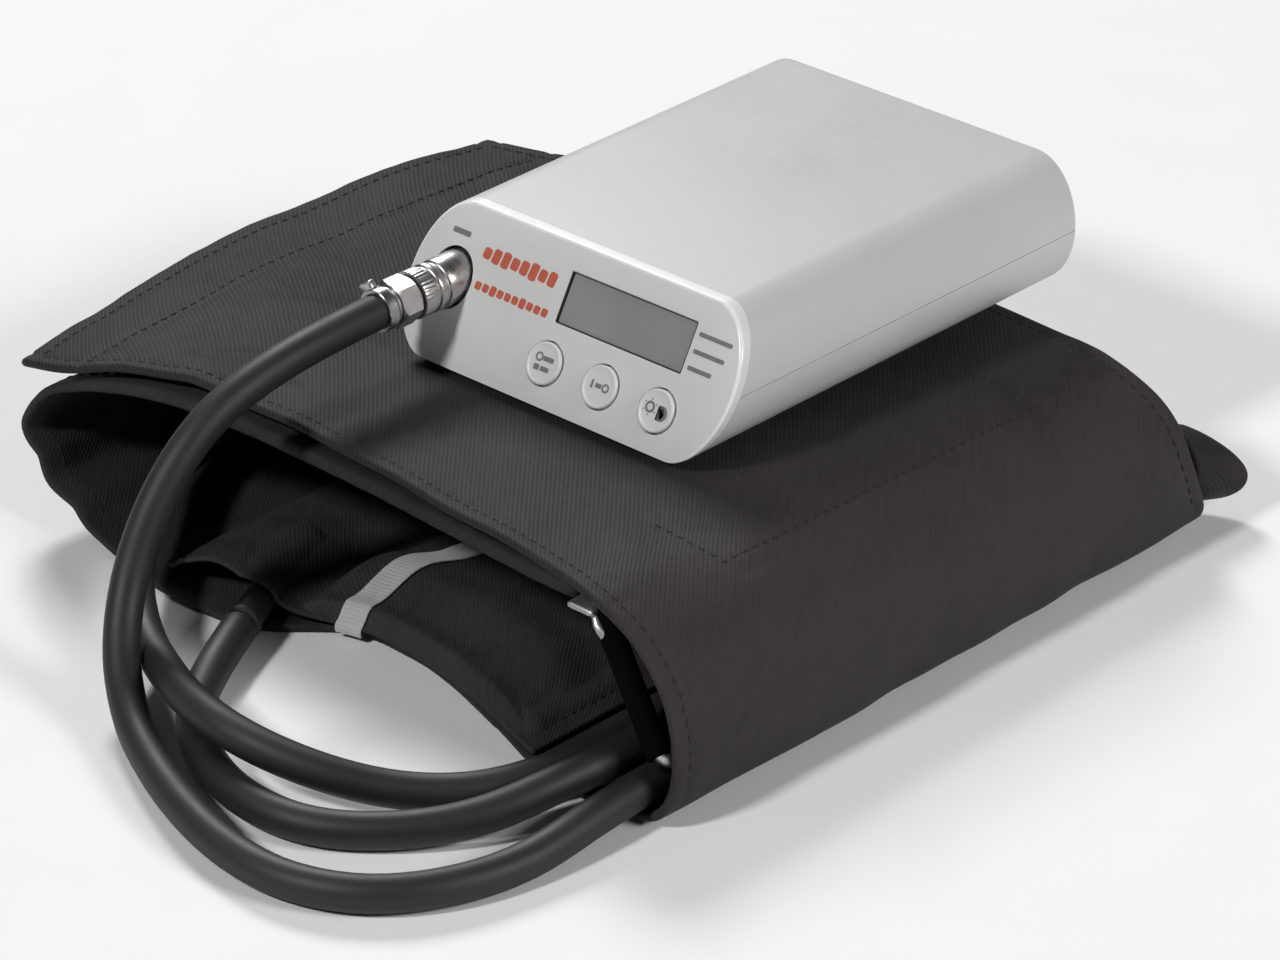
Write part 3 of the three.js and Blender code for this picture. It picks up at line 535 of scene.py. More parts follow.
# ------------------------------------------------------------------ cord
HOSE_R = 3.5
ROUTE = [[-31.3,-9.0,14.1],[-30.8,-24.4,13.9],[-30.8,-39.8,12.4],[-31.8,-54.2,7.4],[-32.4,-65.8,-2.8],[-31.8,-74.4,-15.5],[-26.3,-82.8,-27.1],[-15.0,-90.6,-33.7],[-1.4,-97.8,-34.5],[12.8,-103.8,-34.5],[27.7,-108.0,-34.5],[43.0,-108.6,-34.5],[57.1,-102.7,-34.5],[66.4,-90.6,-34.5],[70.3,-75.7,-34.5],[70.9,-60.3,-32.6],[70.4,-44.9,-32.3],[70.4,-29.5,-32.3],[70.3,-14.1,-32.4],[70.2,1.4,-32.4],[70.0,16.8,-32.3],[68.6,32.2,-31.6],[64.9,47.1,-30.4],[58.5,61.1,-29.3],[48.9,73.1,-28.5],[36.1,81.7,-28.3],[21.5,86.6,-28.4],[6.2,88.3,-28.4],[-9.2,87.7,-28.4],[-24.5,85.3,-28.4],[-39.2,80.8,-28.4],[-52.7,73.4,-28.4],[-63.7,62.6,-28.3],[-71.4,49.2,-28.0],[-76.0,34.6,-27.6],[-77.8,19.2,-27.2],[-77.6,3.8,-26.9],[-76.5,-11.6,-26.7],[-72.4,-26.4,-26.6],[-64.0,-39.4,-26.4],[-54.8,-51.7,-26.5],[-44.3,-63.0,-27.7],[-32.6,-71.4,-30.3],[-19.3,-78.9,-29.0],[-4.7,-85.9,-27.0],[10.4,-88.9,-26.9],[24.8,-85.0,-29.8],[37.0,-76.2,-33.4],[48.2,-65.7,-33.8],[54.9,-52.0,-32.6],[56.8,-36.7,-32.5],[56.8,-21.3,-32.4],[56.3,-5.9,-32.4],[55.8,9.6,-32.4],[55.7,25.0,-32.1],[55.2,40.4,-31.1],[49.2,54.4,-29.7],[37.7,64.4,-28.7],[22.8,68.0,-28.5],[8.1,63.9,-28.4],[-2.8,53.2,-28.4],[-7.0,38.6,-28.4],[-3.5,23.7,-28.4],[6.7,12.3,-28.4],[20.9,6.5,-28.1],[36.0,3.3,-26.4],[50.3,-2.0,-25.1],[60.5,-13.3,-25.3],[63.8,-28.1,-27.9],[63.4,-43.4,-29.2],[60.9,-58.6,-30.3],[55.6,-72.8,-33.0],[45.9,-84.7,-34.5],[33.4,-93.5,-34.5],[18.2,-94.5,-34.5],[3.6,-89.8,-34.5],[-9.1,-81.1,-34.5],[-18.1,-68.7,-34.1],[-25.25,-54.45,-33.0]]


def smooth_route(points, step):
    """Centripetal Catmull-Rom through the points, resampled at equal steps."""
    p = np.asarray(points, float)
    p = np.vstack([2 * p[0] - p[1], p, 2 * p[-1] - p[-2]])
    out = []
    for i in range(1, len(p) - 2):
        a, b, c, d = p[i - 1], p[i], p[i + 1], p[i + 2]
        t0 = 0.0
        t1 = t0 + np.linalg.norm(b - a) ** 0.5
        t2 = t1 + np.linalg.norm(c - b) ** 0.5
        t3 = t2 + np.linalg.norm(d - c) ** 0.5
        for t in np.linspace(t1, t2, 24, endpoint=False):
            a1 = (t1 - t) / (t1 - t0) * a + (t - t0) / (t1 - t0) * b
            a2 = (t2 - t) / (t2 - t1) * b + (t - t1) / (t2 - t1) * c
            a3 = (t3 - t) / (t3 - t2) * c + (t - t2) / (t3 - t2) * d
            b1 = (t2 - t) / (t2 - t0) * a1 + (t - t0) / (t2 - t0) * a2
            b2 = (t3 - t) / (t3 - t1) * a2 + (t - t1) / (t3 - t1) * a3
            out.append((t2 - t) / (t2 - t1) * b1 + (t - t1) / (t2 - t1) * b2)
    out.append(p[-2])
    out = np.array(out)
    # one smoothing pass takes the small kinks at the control points out
    s = np.r_[0, np.cumsum(np.linalg.norm(np.diff(out, axis=0), axis=1))]
    n = max(2, int(round(s[-1] / step)))
    t = np.linspace(0, s[-1], n + 1)
    q = np.stack([np.interp(t, s, out[:, k]) for k in range(3)], 1)
    for _ in range(6):
        q[1:-1] = 0.25 * q[:-2] + 0.5 * q[1:-1] + 0.25 * q[2:]
    return q


def frames(q):
    """Tangents and a twist-free pair of normals along a polyline."""
    t = np.gradient(q, axis=0)
    t /= np.linalg.norm(t, axis=1)[:, None]
    n = np.cross(t[0], [0, 0, 1.0])
    if np.linalg.norm(n) < 1e-3:
        n = np.cross(t[0], [1.0, 0, 0])
    n /= np.linalg.norm(n)
    ns = [n]
    for i in range(1, len(q)):
        n = ns[-1] - t[i] * np.dot(ns[-1], t[i])
        ns.append(n / np.linalg.norm(n))
    ns = np.array(ns)
    return t, ns, np.cross(t, ns)


def tube_mesh(name, q, radius, sides, material, ends=True, closed=False):
    """Round tube along the points q (mm); radius is a number or one per point."""
    t, n, b = frames(q)
    r = np.broadcast_to(np.asarray(radius, float), (len(q),))
    a = 2 * math.pi * np.arange(sides) / sides
    ring = lambda i, rr, off: q[i] + t[i] * off + rr * (np.cos(a)[:, None] * n[i] + np.sin(a)[:, None] * b[i])
    rings = [ring(i, r[i], 0) for i in range(len(q))]
    if ends:  # slightly rounded ends
        e = min(0.5, r[0] * 0.2)
        rings = [ring(0, r[0] - e, 0), ring(0, r[0] - 0.3 * e, 0.3 * e)] + [rings[0] + t[0] * e] + rings[1:-1] + [rings[-1] - t[-1] * e, ring(-1, r[-1] - 0.3 * e, -0.3 * e), ring(-1, r[-1] - e, 0)]
    v, f = loft([list(x) for x in rings], ends, ends)
    v = np.array(v)
    f = outward(v, f)
    s = np.r_[0, np.cumsum(np.linalg.norm(np.diff(q, axis=0), axis=1))]
    uv = np.stack([np.tile(a * r.mean() / 1000, len(rings)), np.repeat(np.interp(np.linspace(0, 1, len(rings)), np.linspace(0, 1, len(s)), s) / 1000, sides)], 1)
    return mesh_object(name, to_row(v), f, material, uv=uv)


hose_q = smooth_route([[x, y, max(z, -34.45)] for x, y, z in ROUTE], 2.4)
hose = tube_mesh("hose", hose_q, HOSE_R, 24, M_HOSE)
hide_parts("air_hose")
tuple(to_row([-31.3, -8.7, 14.1]))
[tuple(p) for p in to_row(hose_q)]
tuple(to_row([-31.3, -60, -14]))
tuple(to_row([-31.3, -60, 11]))
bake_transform(hose)

# ------------------------------------------------------------- housing
H, W_FLAT, BULGE, RAKE = 27.0, 31.4, 10.08, 15.89
PHI = math.atan2(H, RAKE)
FACE_M = Matrix.Rotation(PHI, 4, "X")
SIN, COS = math.sin(PHI), math.cos(PHI)
PORT_X, PORT_Z = -31.3, 14.1
LCD = dict(x=12.23, v=21.26, w=32.0, h=10.16)
BTN = dict(x=11.77, v=8.32, pitch=14.32, r=4.42)
POSTS = [(-30, 41), (30, 41), (-30, 63), (30, 63)]
SEG = 36


def outline(inset):
    a, h = BULGE - inset, H / 2 - inset
    ts = [-math.pi / 2 + math.pi * i / SEG for i in range(SEG + 1)]
    pts = [(W_FLAT + a * math.cos(t), H / 2 + h * math.sin(t)) for t in ts]
    pts += [(-W_FLAT - a * math.cos(t), H / 2 - h * math.sin(t)) for t in ts]
    return pts


def on_plane(inset, w):
    """Outline cut by the plane at depth w behind the raked face."""
    return [(x, (COS * z - w) / SIN, z) for x, z in outline(inset)]


def at_y(inset, y):
    return [(x, y, z) for x, z in outline(inset)]


def rounded_rect(x0, x1, y0, y1, r, n=6):
    pts = []
    for cx, cy, a0 in ((x1 - r, y1 - r, 0), (x0 + r, y1 - r, 90), (x0 + r, y0 + r, 180), (x1 - r, y0 + r, 270)):
        for k in range(n + 1):
            a = math.radians(a0 + 90 * k / n)
            pts.append((cx + r * math.cos(a), cy + r * math.sin(a)))
    return pts


def make_housing():
    rear, r = 105.9, 1.1
    loops = [on_plane(0.07, -2.24), on_plane(0.0, -2.31), at_y(0, rear - r)]
    loops += [at_y(r * (1 - math.cos(a)), rear - r + r * math.sin(a)) for a in [math.radians(x) for x in (18, 36, 54, 72, 90)]]
    outer = tmp_object("outer", *loft(loops))
    cavity = tmp_object("cavity", *loft([on_plane(2.0, 3.0), at_y(2.0, 103.7)]))
    cut(outer, cavity)
    lower = outer.copy()
    lower.data = outer.data.copy()
    scene.collection.objects.link(lower)
    seam = 12.8
    cut(outer, box_tmp(-60, 60, -20, 140, -20, seam + 0.06))
    cut(lower, box_tmp(-60, 60, -20, 140, seam - 0.06, 60))
    Z = Matrix.Identity(4)
    for x, y in POSTS:
        t = Matrix.Translation((x, y, 0))
        cut(outer, turned_tmp([(0, 2.4), (3.0, 2.4), (3.0, 25.6), (0, 25.6)], t, 40), "UNION")
        cut(outer, turned_tmp([(0, 0), (1.4, 0), (1.4, 14), (0, 14)], t, 32))
        cut(lower, turned_tmp([(0, -1), (3.1, -1), (2.9, 0.2), (2.9, 1.2), (1.6, 1.2), (1.6, 4), (0, 4)], t, 40))
    cut(lower, box_tmp(-28.35, 28.35, 65.75, 140, -5, 2.0))
    finish_mm(outer, "housing_top", M_SHELL)
    finish_mm(lower, "housing_bottom", M_SHELL)
    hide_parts("upper_shell")
    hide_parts("lower_shell")
    # battery door, with grip ribs
    door = box_tmp(-28.1, 28.1, 66, 105.9, 0, 1.75)
    bevel(door, 0.3, 40, 2)
    for i in range(6):
        cut(door, box_tmp(-9, 9, 71.5 + i * 2.4, 72.7 + i * 2.4, -1, 0.45))
    finish_mm(door, "door", M_SHELL)
    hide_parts("battery_door")
    # front panel with a rounded rim
    loops = [on_plane(0.5 * (1 - math.sin(a)), -0.5 * (1 - math.cos(a))) for a in [math.radians(x) for x in (0, 18, 36, 54, 72, 90)]]
    # first loop is the flat face's edge: angle 0 gives inset 0.5 at depth 0
    loops = loops + [on_plane(0.0, -2.2)]
    panel = tmp_object("panel", *loft(loops))
    lx, lv = LCD["w"] / 2, LCD["h"] / 2
    rect = rounded_rect(LCD["x"] - lx, LCD["x"] + lx, LCD["v"] - lv, LCD["v"] + lv, 0.35)
    wide = rounded_rect(LCD["x"] - lx - 0.18, LCD["x"] + lx + 0.18, LCD["v"] - lv - 0.18, LCD["v"] + lv + 0.18, 0.45)
    prism = [[tuple(FACE_M @ Vector((x, v, w))) for x, v in pts] for pts, w in ((wide, 1.0), (wide, 0.0), (rect, -0.2), (rect, -6.0))]
    cut(panel, tmp_object("t", *loft(prism)))
    for k in (-1, 0, 1):
        m = FACE_M @ Matrix.Translation((BTN["x"] + k * BTN["pitch"], BTN["v"], 0))
        cut(panel, turned_tmp([(0, -6), (BTN["r"], -6), (BTN["r"], -0.18), (BTN["r"] + 0.18, 0.0), (BTN["r"] + 0.18, 1), (0, 1)], m, 64))
    along_y = Matrix.Translation((PORT_X, 0, PORT_Z)) @ Matrix.Rotation(-math.pi / 2, 4, "X")
    cut(panel, turned_tmp([(0, -10), (5.4, -10), (5.4, 30), (0, 30)], along_y, 72))
    finish_mm(panel, "panel", M_PANEL)
    # the rim faces, all but the top edge, take the lighter rim plastic: painted highlight on the chamfers that face the
    # lamps
    panel.data.materials.append(M_RIM_HIGHLIGHT)
    for f in panel.data.polygons:
        c = np.array(f.center) * 1000 - SHIFT
        w = -SIN * c[1] + COS * c[2]
        z = (c[2] - H / 2) / (H / 2 - 0.62)
        inside = abs(z) < 1 and abs(c[0]) < W_FLAT + (BULGE - 0.62) * math.sqrt(max(0, 1 - z * z))
        top_edge = z > 0.72 and abs(c[0]) < W_FLAT + 1.0
        if -0.6 < w < -0.004 and not inside and not top_edge:
            f.material_index = 1
    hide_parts("front_panel")
    for o, b in ((outer, "recorder"), (lower, "recorder"), (panel, "recorder"), (door, "battery_door")):
        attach(o, b)
    outer, lower, door, panel


make_housing()


# display window, keys, printed marks: built in the face's frame (x, v, w)
def face_plate(name, pts, w0, w1, material, body="recorder", crisp=30, slot=None, chamfer=0.0):
    loops = [[(x, v, w0) for x, v in pts]]
    if chamfer:
        c = np.array(pts).mean(0)
        small = [tuple(c + (np.array(p) - c) * (1 - chamfer / max(1e-6, np.linalg.norm(np.array(p) - c)))) for p in pts]
        loops += [[(x, v, w1 - chamfer) for x, v in pts], [(x, v, w1) for x, v in small]]
    else:
        loops += [[(x, v, w1) for x, v in pts]]
    v, f = loft(loops)
    o = from_local(name, v, outward(v, f), FACE_M, material, crisp)
    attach(o, body)
    return o


lx, lv = LCD["w"] / 2 - 0.25, LCD["h"] / 2 - 0.25
win = face_plate("window", rounded_rect(LCD["x"] - lx, LCD["x"] + lx, LCD["v"] - lv, LCD["v"] + lv, 0.3), -1.5, -0.75, M_WINDOW, slot="window", chamfer=0.1)
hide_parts("display_window")


def frame_plate(name, outer_pts, inner_pts, w0, w1, material, body):
    """A flat frame: the area between two outlines with as many points each."""
    n = len(outer_pts)
    rows = [[(x, v, w0) for x, v in outer_pts], [(x, v, w1) for x, v in outer_pts], [(x, v, w1) for x, v in inner_pts], [(x, v, w0) for x, v in inner_pts]]
    v = [p for r in rows for p in r]
    f = []
    for i in range(4):
        for j in range(n):
            a, b = i * n + j, i * n + (j + 1) % n
            c, d = ((i + 1) % 4) * n + (j + 1) % n, ((i + 1) % 4) * n + j
            f.append((a, b, c, d))
    o = from_local(name, v, outward(v, f), FACE_M, material)
    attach(o, body)
    return o


# black gasket round the window, in the opening's wall; its black also paints the shade that the recess casts along the
# window's top and left edges
gasket_o = rounded_rect(LCD["x"] - LCD["w"] / 2 + 0.02, LCD["x"] + LCD["w"] / 2 - 0.02, LCD["v"] - LCD["h"] / 2 + 0.02, LCD["v"] + LCD["h"] / 2 - 0.02, 0.33)
gasket_i = rounded_rect(LCD["x"] - LCD["w"] / 2 + 0.22, LCD["x"] + LCD["w"] / 2 - 0.22, LCD["v"] - LCD["h"] / 2 + 0.22, LCD["v"] + LCD["h"] / 2 - 0.22, 0.25)
frame_plate("window_gasket_painted_shade", gasket_o, gasket_i, -1.5, -0.22, M_RUBBER, "recorder")


def key_cap(name, k, body, node):
    prof = [(0, -3.3), (1.4, -3.3), (1.4, -2.0), (4.12, -2.0), (4.12, 0.30), (4.07, 0.42), (3.96, 0.50), (3.80, 0.54), (3.62, 0.52), (3.48, 0.44), (3.2, 0.40), (1.6, 0.375), (0, 0.37)]
    v, f = turned(prof, 72)
    m = FACE_M @ Matrix.Translation((BTN["x"] + k * BTN["pitch"], BTN["v"], 0))
    o = from_local(name, v, f, m, M_KEY, 32)
    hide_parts(node)
    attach(o, body)


for k, side in ((-1, "left"), (0, "centre"), (1, "right")):
    key_cap("key_" + side, k, "button_" + side, "button_" + side)


def disc(cx, cv, r, n=28):
    return [(cx + r * math.cos(2 * math.pi * i / n), cv + r * math.sin(2 * math.pi * i / n)) for i in range(n)]


def ring_pts(cx, cv, r0_, r1_, name, w0, w1, material, body):
    return frame_plate(name, disc(cx, cv, r1_), disc(cx, cv, r0_), w0, w1, material, body)


def bar(name, cx, cv, w, h, angle, material, body, w0=0.005, w1=0.035, r=None):
    r = r or h / 2 * 0.98
    pts = rounded_rect(-w / 2, w / 2, -h / 2, h / 2, r)
    ca, sa = math.cos(angle), math.sin(angle)
    pts = [(cx + x * ca - y * sa, cv + x * sa + y * ca) for x, y in pts]
    return face_plate(name, pts, w0, w1, material, body, slot="panel" if body == "recorder" else "button")


KX, KV = BTN["x"], BTN["v"]
TOP = (0.375, 0.425)
# left key: start and stop, on two lines; centre key: information; right key: day and night
ring_pts(KX - BTN["pitch"] - 1.35, KV + 0.95, 0.55, 0.92, "mark_start", *TOP, M_GREY, "button_left")
bar("mark_start_bar", KX - BTN["pitch"] + 0.95, KV + 0.95, 2.6, 0.95, 0, M_GREY, "button_left", *TOP, r=0.2)
bar("mark_stop", KX - BTN["pitch"] - 1.35, KV - 1.05, 1.3, 1.1, 0, M_GREY, "button_left", *TOP, r=0.2)
bar("mark_stop_bar", KX - BTN["pitch"] + 0.7, KV - 1.05, 2.1, 0.95, 0, M_GREY, "button_left", *TOP, r=0.2)
bar("mark_info_a", KX - 1.75, KV + 0.1, 0.5, 1.7, 0, M_GREY, "button_centre", *TOP, r=0.2)
bar("mark_info_b", KX - 0.2, KV + 0.1, 1.5, 0.9, 0, M_GREY, "button_centre", *TOP, r=0.2)
ring_pts(KX + 1.6, KV + 0.1, 0.5, 0.88, "mark_info_c", *TOP, M_GREY, "button_centre")
ring_pts(KX + BTN["pitch"] - 1.45, KV + 0.3, 0.66, 1.12, "mark_day", *TOP, M_GREY, "button_right")
for i in range(6):
    a = math.radians(60 * i + 30)
    bar("mark_ray_%d" % i, KX + BTN["pitch"] - 1.45 + 1.48 * math.cos(a), KV + 0.3 + 1.48 * math.sin(a), 0.36, 0.26, a, M_GREY, "button_right", *TOP)


def crescent(cx, cv, r, n=20):
    out = [(cx + r * math.cos(a), cv + r * math.sin(a)) for a in np.linspace(math.radians(-115), math.radians(115), n)]
    inn = [(cx - 0.45 * r + 0.98 * r * math.cos(a), cv + 0.93 * r * math.sin(a)) for a in np.linspace(math.radians(100), math.radians(-100), n)]
    return out + inn


face_plate("mark_night", crescent(KX + BTN["pitch"] + 1.45, KV - 0.2, 1.5), *TOP, M_GREY, "button_right", slot="button")
# plain bars where the photographed object carries print
for i, h in enumerate((2.2, 2.9, 3.2, 2.4, 2.8, 3.4, 2.4, 2.9)):
    bar("print_red_a%d" % i, -24.5 + i * 2.42, 23.3, 2.0, h, -0.12, M_RED, "recorder", r=0.6)
for i, h in enumerate((1.6, 1.6, 2.0, 1.6, 1.6, 1.6, 2.0, 1.6, 1.6, 1.6)):
    bar("print_red_b%d" % i, -24.1 + i * 1.93, 17.0, 1.55, h, -0.12, M_RED, "recorder", r=0.45)
bar("print_grey_port", -32.2, 25.3, 4.6, 1.1, 0, M_GREY, "recorder", r=0.3)
for i, (w, v) in enumerate(((8.2, 24.4), (7.6, 21.1), (5.8, 17.9))):
    bar("print_grey_%d" % i, 29.4 + w / 2, v, w, 0.85, 0, M_GREY, "recorder", r=0.25)


# ---------------------------------------------------------------- coupling
def port_m(y=0.0):
    """Local Z of the turned piece goes along +Y of the recorder's frame."""
    return Matrix.Translation((PORT_X, y, PORT_Z)) @ Matrix.Rotation(-math.pi / 2, 4, "X")


def knurled(profile, seg, depth, y0, y1, teeth):
    """Turned ring whose outer wall carries fine flutes between y0 and y1."""
    v, f = turned(profile, seg, ring=True)
    r = np.hypot(v[:, 0], v[:, 1])
    a = np.arctan2(v[:, 1], v[:, 0])
    on = (v[:, 2] > y0 - 1e-6) & (v[:, 2] < y1 + 1e-6) & (r > 4.6)
    k = np.where(on, 1 - depth / np.maximum(r, 1) * (0.5 - 0.5 * np.cos(teeth * a)), 1)
    v[:, 0] *= k
    v[:, 1] *= k
    return v, f


sleeve_prof = [(3.5, -2.4), (4.35, -2.4), (4.7, -2.25), (4.85, -1.95), (4.85, 0.45), (4.75, 0.62), (4.5, 0.75), (4.5, 1.45), (4.75, 1.6), (4.85, 1.8), (4.85, 2.9), (4.75, 3.1), (4.5, 3.25), (4.5, 3.95), (4.75, 4.1), (4.85, 4.3), (4.85, 6.5), (4.85, 8.5), (4.85, 11.9), (4.7, 12.3), (4.5, 12.4), (4.3, 12.4), (4.3, 1.0), (3.5, 1.0)]
v, f = knurled(sleeve_prof, 144, 0.16, -1.95, 0.45, 36)
sleeve = from_local("sleeve", v, f, port_m(), M_STEEL, 35)
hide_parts("coupling_sleeve")
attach(sleeve, "coupling_sleeve")


def make_coupling_body():
    prof = [(1.55, -8.7), (3.7, -8.7), (3.9, -8.55), (3.9, -8.0), (3.2, -7.9), (3.2, 11.3), (3.7, 11.4), (3.7, 12.6), (2.2, 12.6), (2.2, 3.0), (1.55, 3.0)]
    v, f = turned(prof, 72, ring=True)
    body = tmp_object("cb", v, f)
    # hexagon with turned chamfers
    hexa = [(4.965 * math.cos(math.radians(60 * i + 8)), 4.965 * math.sin(math.radians(60 * i + 8))) for i in range(6)]
    hx = tmp_object("hx", *loft([[(x, y, h) for x, y in hexa] for h in (-7.9, -3.1)]))
    cone = turned_tmp([(0, -7.95), (4.25, -7.95), (4.95, -7.4), (4.95, -3.6), (4.25, -3.05), (0, -3.05)], Matrix.Identity(4), 96)
    cut(hx, cone, "INTERSECT")
    bore = turned_tmp([(0, -20), (3.0, -20), (3.0, 20), (0, 20)], Matrix.Identity(4), 72)
    cut(hx, bore)
    cut(body, hx, "UNION")
    body.data.transform(port_m())
    finish_mm(body, "coupling", M_STEEL, 25)
    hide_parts("coupling_body")
    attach(body, "recorder")


make_coupling_body()
v, f = turned([(3.25, -3.05), (3.9, -3.02), (4.15, -2.88), (4.15, -2.62), (3.9, -2.48), (3.25, -2.45)], 72, ring=True)
seal = from_local("coupling_seal", v, f, port_m(), M_RUBBER, 35)
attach(seal, "recorder")


def make_hose_clamp():
    """An ear clamp that holds the hose on the coupling's tail."""
    v, f = turned([(3.54, -9.05), (4.15, -9.05), (4.28, -9.18), (4.28, -11.22), (4.15, -11.35), (3.54, -11.35)], 72, ring=True)
    clamp = tmp_object("hc", v, f)
    ear = box_tmp(-1.7, 1.7, -5.8, -3.9, -11.05, -9.35, Matrix.Rotation(math.radians(-38), 4, "Z"))
    bevel(ear, 0.45, 40, 3)
    cut(clamp, ear, "UNION")
    clamp.data.transform(port_m())
    finish_mm(clamp, "hose_clamp", M_STEEL, 30)
    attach(clamp, "recorder")


make_hose_clamp()


# -------------------------------------------------------------------- cloth
def track(rows, u):
    rows = np.asarray(rows, float)
    n = len(rows) - 1
    s = np.clip(u, 0, 1) * n
    i = np.minimum(s.astype(int), n - 1)
    t = (s - i)[:, None]
    e = np.vstack([2 * rows[0] - rows[1], rows, 2 * rows[-1] - rows[-2]])
    p0, p1, p2, p3 = e[i], e[i + 1], e[i + 2], e[i + 3]
    return 0.5 * (2 * p1 + (-p0 + p2) * t + (2 * p0 - 5 * p1 + 4 * p2 - p3) * t * t + (-p0 + 3 * p1 - 3 * p2 + p3) * t ** 3)


def even(rows, n):
    """Parameters that step evenly along the track."""
    u = np.linspace(0, 1, 4001)
    q = track(rows, u)[:, :2]
    s = np.r_[0, np.cumsum(np.linalg.norm(np.diff(q, axis=0), axis=1))]
    return np.interp(np.linspace(0, s[-1], n + 1), s, u), s[-1]


def step(x, a, b):
    t = np.clip((np.asarray(x, float) - a) / (b - a), 0, 1)
    return t * t * (3 - 2 * t)


def ripple(x, y, wavelength, seed, count=9):
    """Smooth, seeded unevenness, about -1 to 1."""
    g = np.random.default_rng(seed)
    out = np.zeros_like(np.asarray(x, float))
    for _ in range(count):
        a, ph = g.uniform(0, 2 * math.pi), g.uniform(0, 2 * math.pi)
        k = 2 * math.pi / (wavelength * g.uniform(0.7, 1.6))
        out += np.sin(k * (x * math.cos(a) + y * math.sin(a)) + ph)
    return out / count ** 0.5 / 1.4


def fold_mark(x, y, line, width):
    """1 on a polyline in the (x, y) plane, falling to 0 over width."""
    d = np.full(np.asarray(x, float).shape, 1e9)
    for (ax, ay), (bx, by) in zip(line, line[1:]):
        L = (bx - ax) ** 2 + (by - ay) ** 2
        t = np.clip(((x - ax) * (bx - ax) + (y - ay) * (by - ay)) / L, 0, 1)
        d = np.minimum(d, np.hypot(x - ax - t * (bx - ax), y - ay - t * (by - ay)))
    return np.exp(-((d / width) ** 2))


def grid_normals(C):
    du, dv = np.gradient(C, axis=0), np.gradient(C, axis=1)
    n = np.cross(du, dv)
    return n / np.linalg.norm(n, axis=2)[:, :, None]


class Cloth:
    """A sheet with real thickness and rounded edges, from a grid of centre points in mm."""

    def __init__(self, name, C, thick, material, top=None, bottom=None, rounds=5, slot="cloth"):
        nu, nv = C.shape[0] - 1, C.shape[1] - 1
        h = np.broadcast_to(np.asarray(thick, float), C.shape[:2]) / 2
        N = grid_normals(C)
        dt = 0 if top is None else top
        db = 0 if bottom is None else bottom
        T = C + N * (h + dt)[:, :, None]
        B = C - N * (h + db)[:, :, None]
        self.top, self.bottom, self.N = T, B, N
        su = np.concatenate([[0], np.cumsum(np.linalg.norm(np.diff(C[:, nv // 2], axis=0), axis=1))])
        sv = np.concatenate([[0], np.cumsum(np.linalg.norm(np.diff(C[nu // 2], axis=0), axis=1))])
        self.su, self.sv = su, sv
        UV = np.stack(np.meshgrid(su, sv, indexing="ij"), 2) / 1000
        k = np.arange((nu + 1) * (nv + 1)).reshape(nu + 1, nv + 1)
        n = k.size
        q = np.stack([k[:-1, :-1], k[1:, :-1], k[1:, 1:], k[:-1, 1:]], 2).reshape(-1, 4)
        quads = [q, q[:, ::-1] + n]
        border = [(i, 0) for i in range(nu + 1)] + [(nu, j) for j in range(1, nv + 1)] + [(i, nv) for i in range(nu - 1, -1, -1)] + [(0, j) for j in range(nv - 1, 0, -1)]
        bi = np.array([b[0] for b in border])
        bj = np.array([b[1] for b in border])
        ii = np.clip(bi, 1, nu - 1)
        jj = np.clip(bj, 1, nv - 1)
        o = C[bi, bj] - C[ii, jj]
        nn = N[bi, bj]
        o -= nn * (o * nn).sum(1)[:, None]
        o /= np.linalg.norm(o, axis=1)[:, None]
        mid, half = (T[bi, bj] + B[bi, bj]) / 2, (T[bi, bj] - B[bi, bj]) / 2
        hl = np.linalg.norm(half, axis=1)[:, None]
        verts = [T.reshape(-1, 3), B.reshape(-1, 3)]
        uvs = [UV.reshape(-1, 2), UV.reshape(-1, 2) + 0.0001]
        rings = [k[bi, bj]]
        edge_uv = np.stack([np.where(bi == 0, -1.0, np.where(bi == nu, 1.0, 0.0)), np.where(bj == 0, -1.0, np.where(bj == nv, 1.0, 0.0))], 1)
        m = len(border)
        for r in range(1, rounds):
            a = math.pi * r / rounds
            verts.append(mid + half * math.cos(a) + o * hl * math.sin(a) * 0.9)
            uvs.append(UV[bi, bj] + edge_uv * (math.pi * hl * r / rounds / 1000))
            rings.append(2 * n + (r - 1) * m + np.arange(m))
        rings.append(k[bi, bj] + n)
        for a, b in zip(rings, rings[1:]):
            a2, b2 = np.roll(a, -1), np.roll(b, -1)
            quads.append(np.stack([a, b, b2, a2], 1))
        verts = np.concatenate(verts)
        quads = outward_quads(verts, np.concatenate(quads))
        self.ob = mesh_object(name, to_row(verts), quads, material, uv=np.concatenate(uvs))
        self.length, self.width = su[-1], sv[-1]

    def at(self, fu, fv, side="top"):
        """Point and outward normal of a face at grid place (fu, fv), as fractions."""
        G = self.top if side == "top" else self.bottom
        x, y = fu * (G.shape[0] - 1), fv * (G.shape[1] - 1)
        i, j = np.minimum(x.astype(int), G.shape[0] - 2), np.minimum(y.astype(int), G.shape[1] - 2)
        a, b = (x - i)[:, None], (y - j)[:, None]
        mix = lambda A: (A[i, j] * (1 - a) + A[i + 1, j] * a) * (1 - b) + (A[i, j + 1] * (1 - a) + A[i + 1, j + 1] * a) * b
        n = mix(self.N) * (1 if side == "top" else -1)
        return mix(G), n / np.linalg.norm(n, axis=1)[:, None]


STITCHES = {}


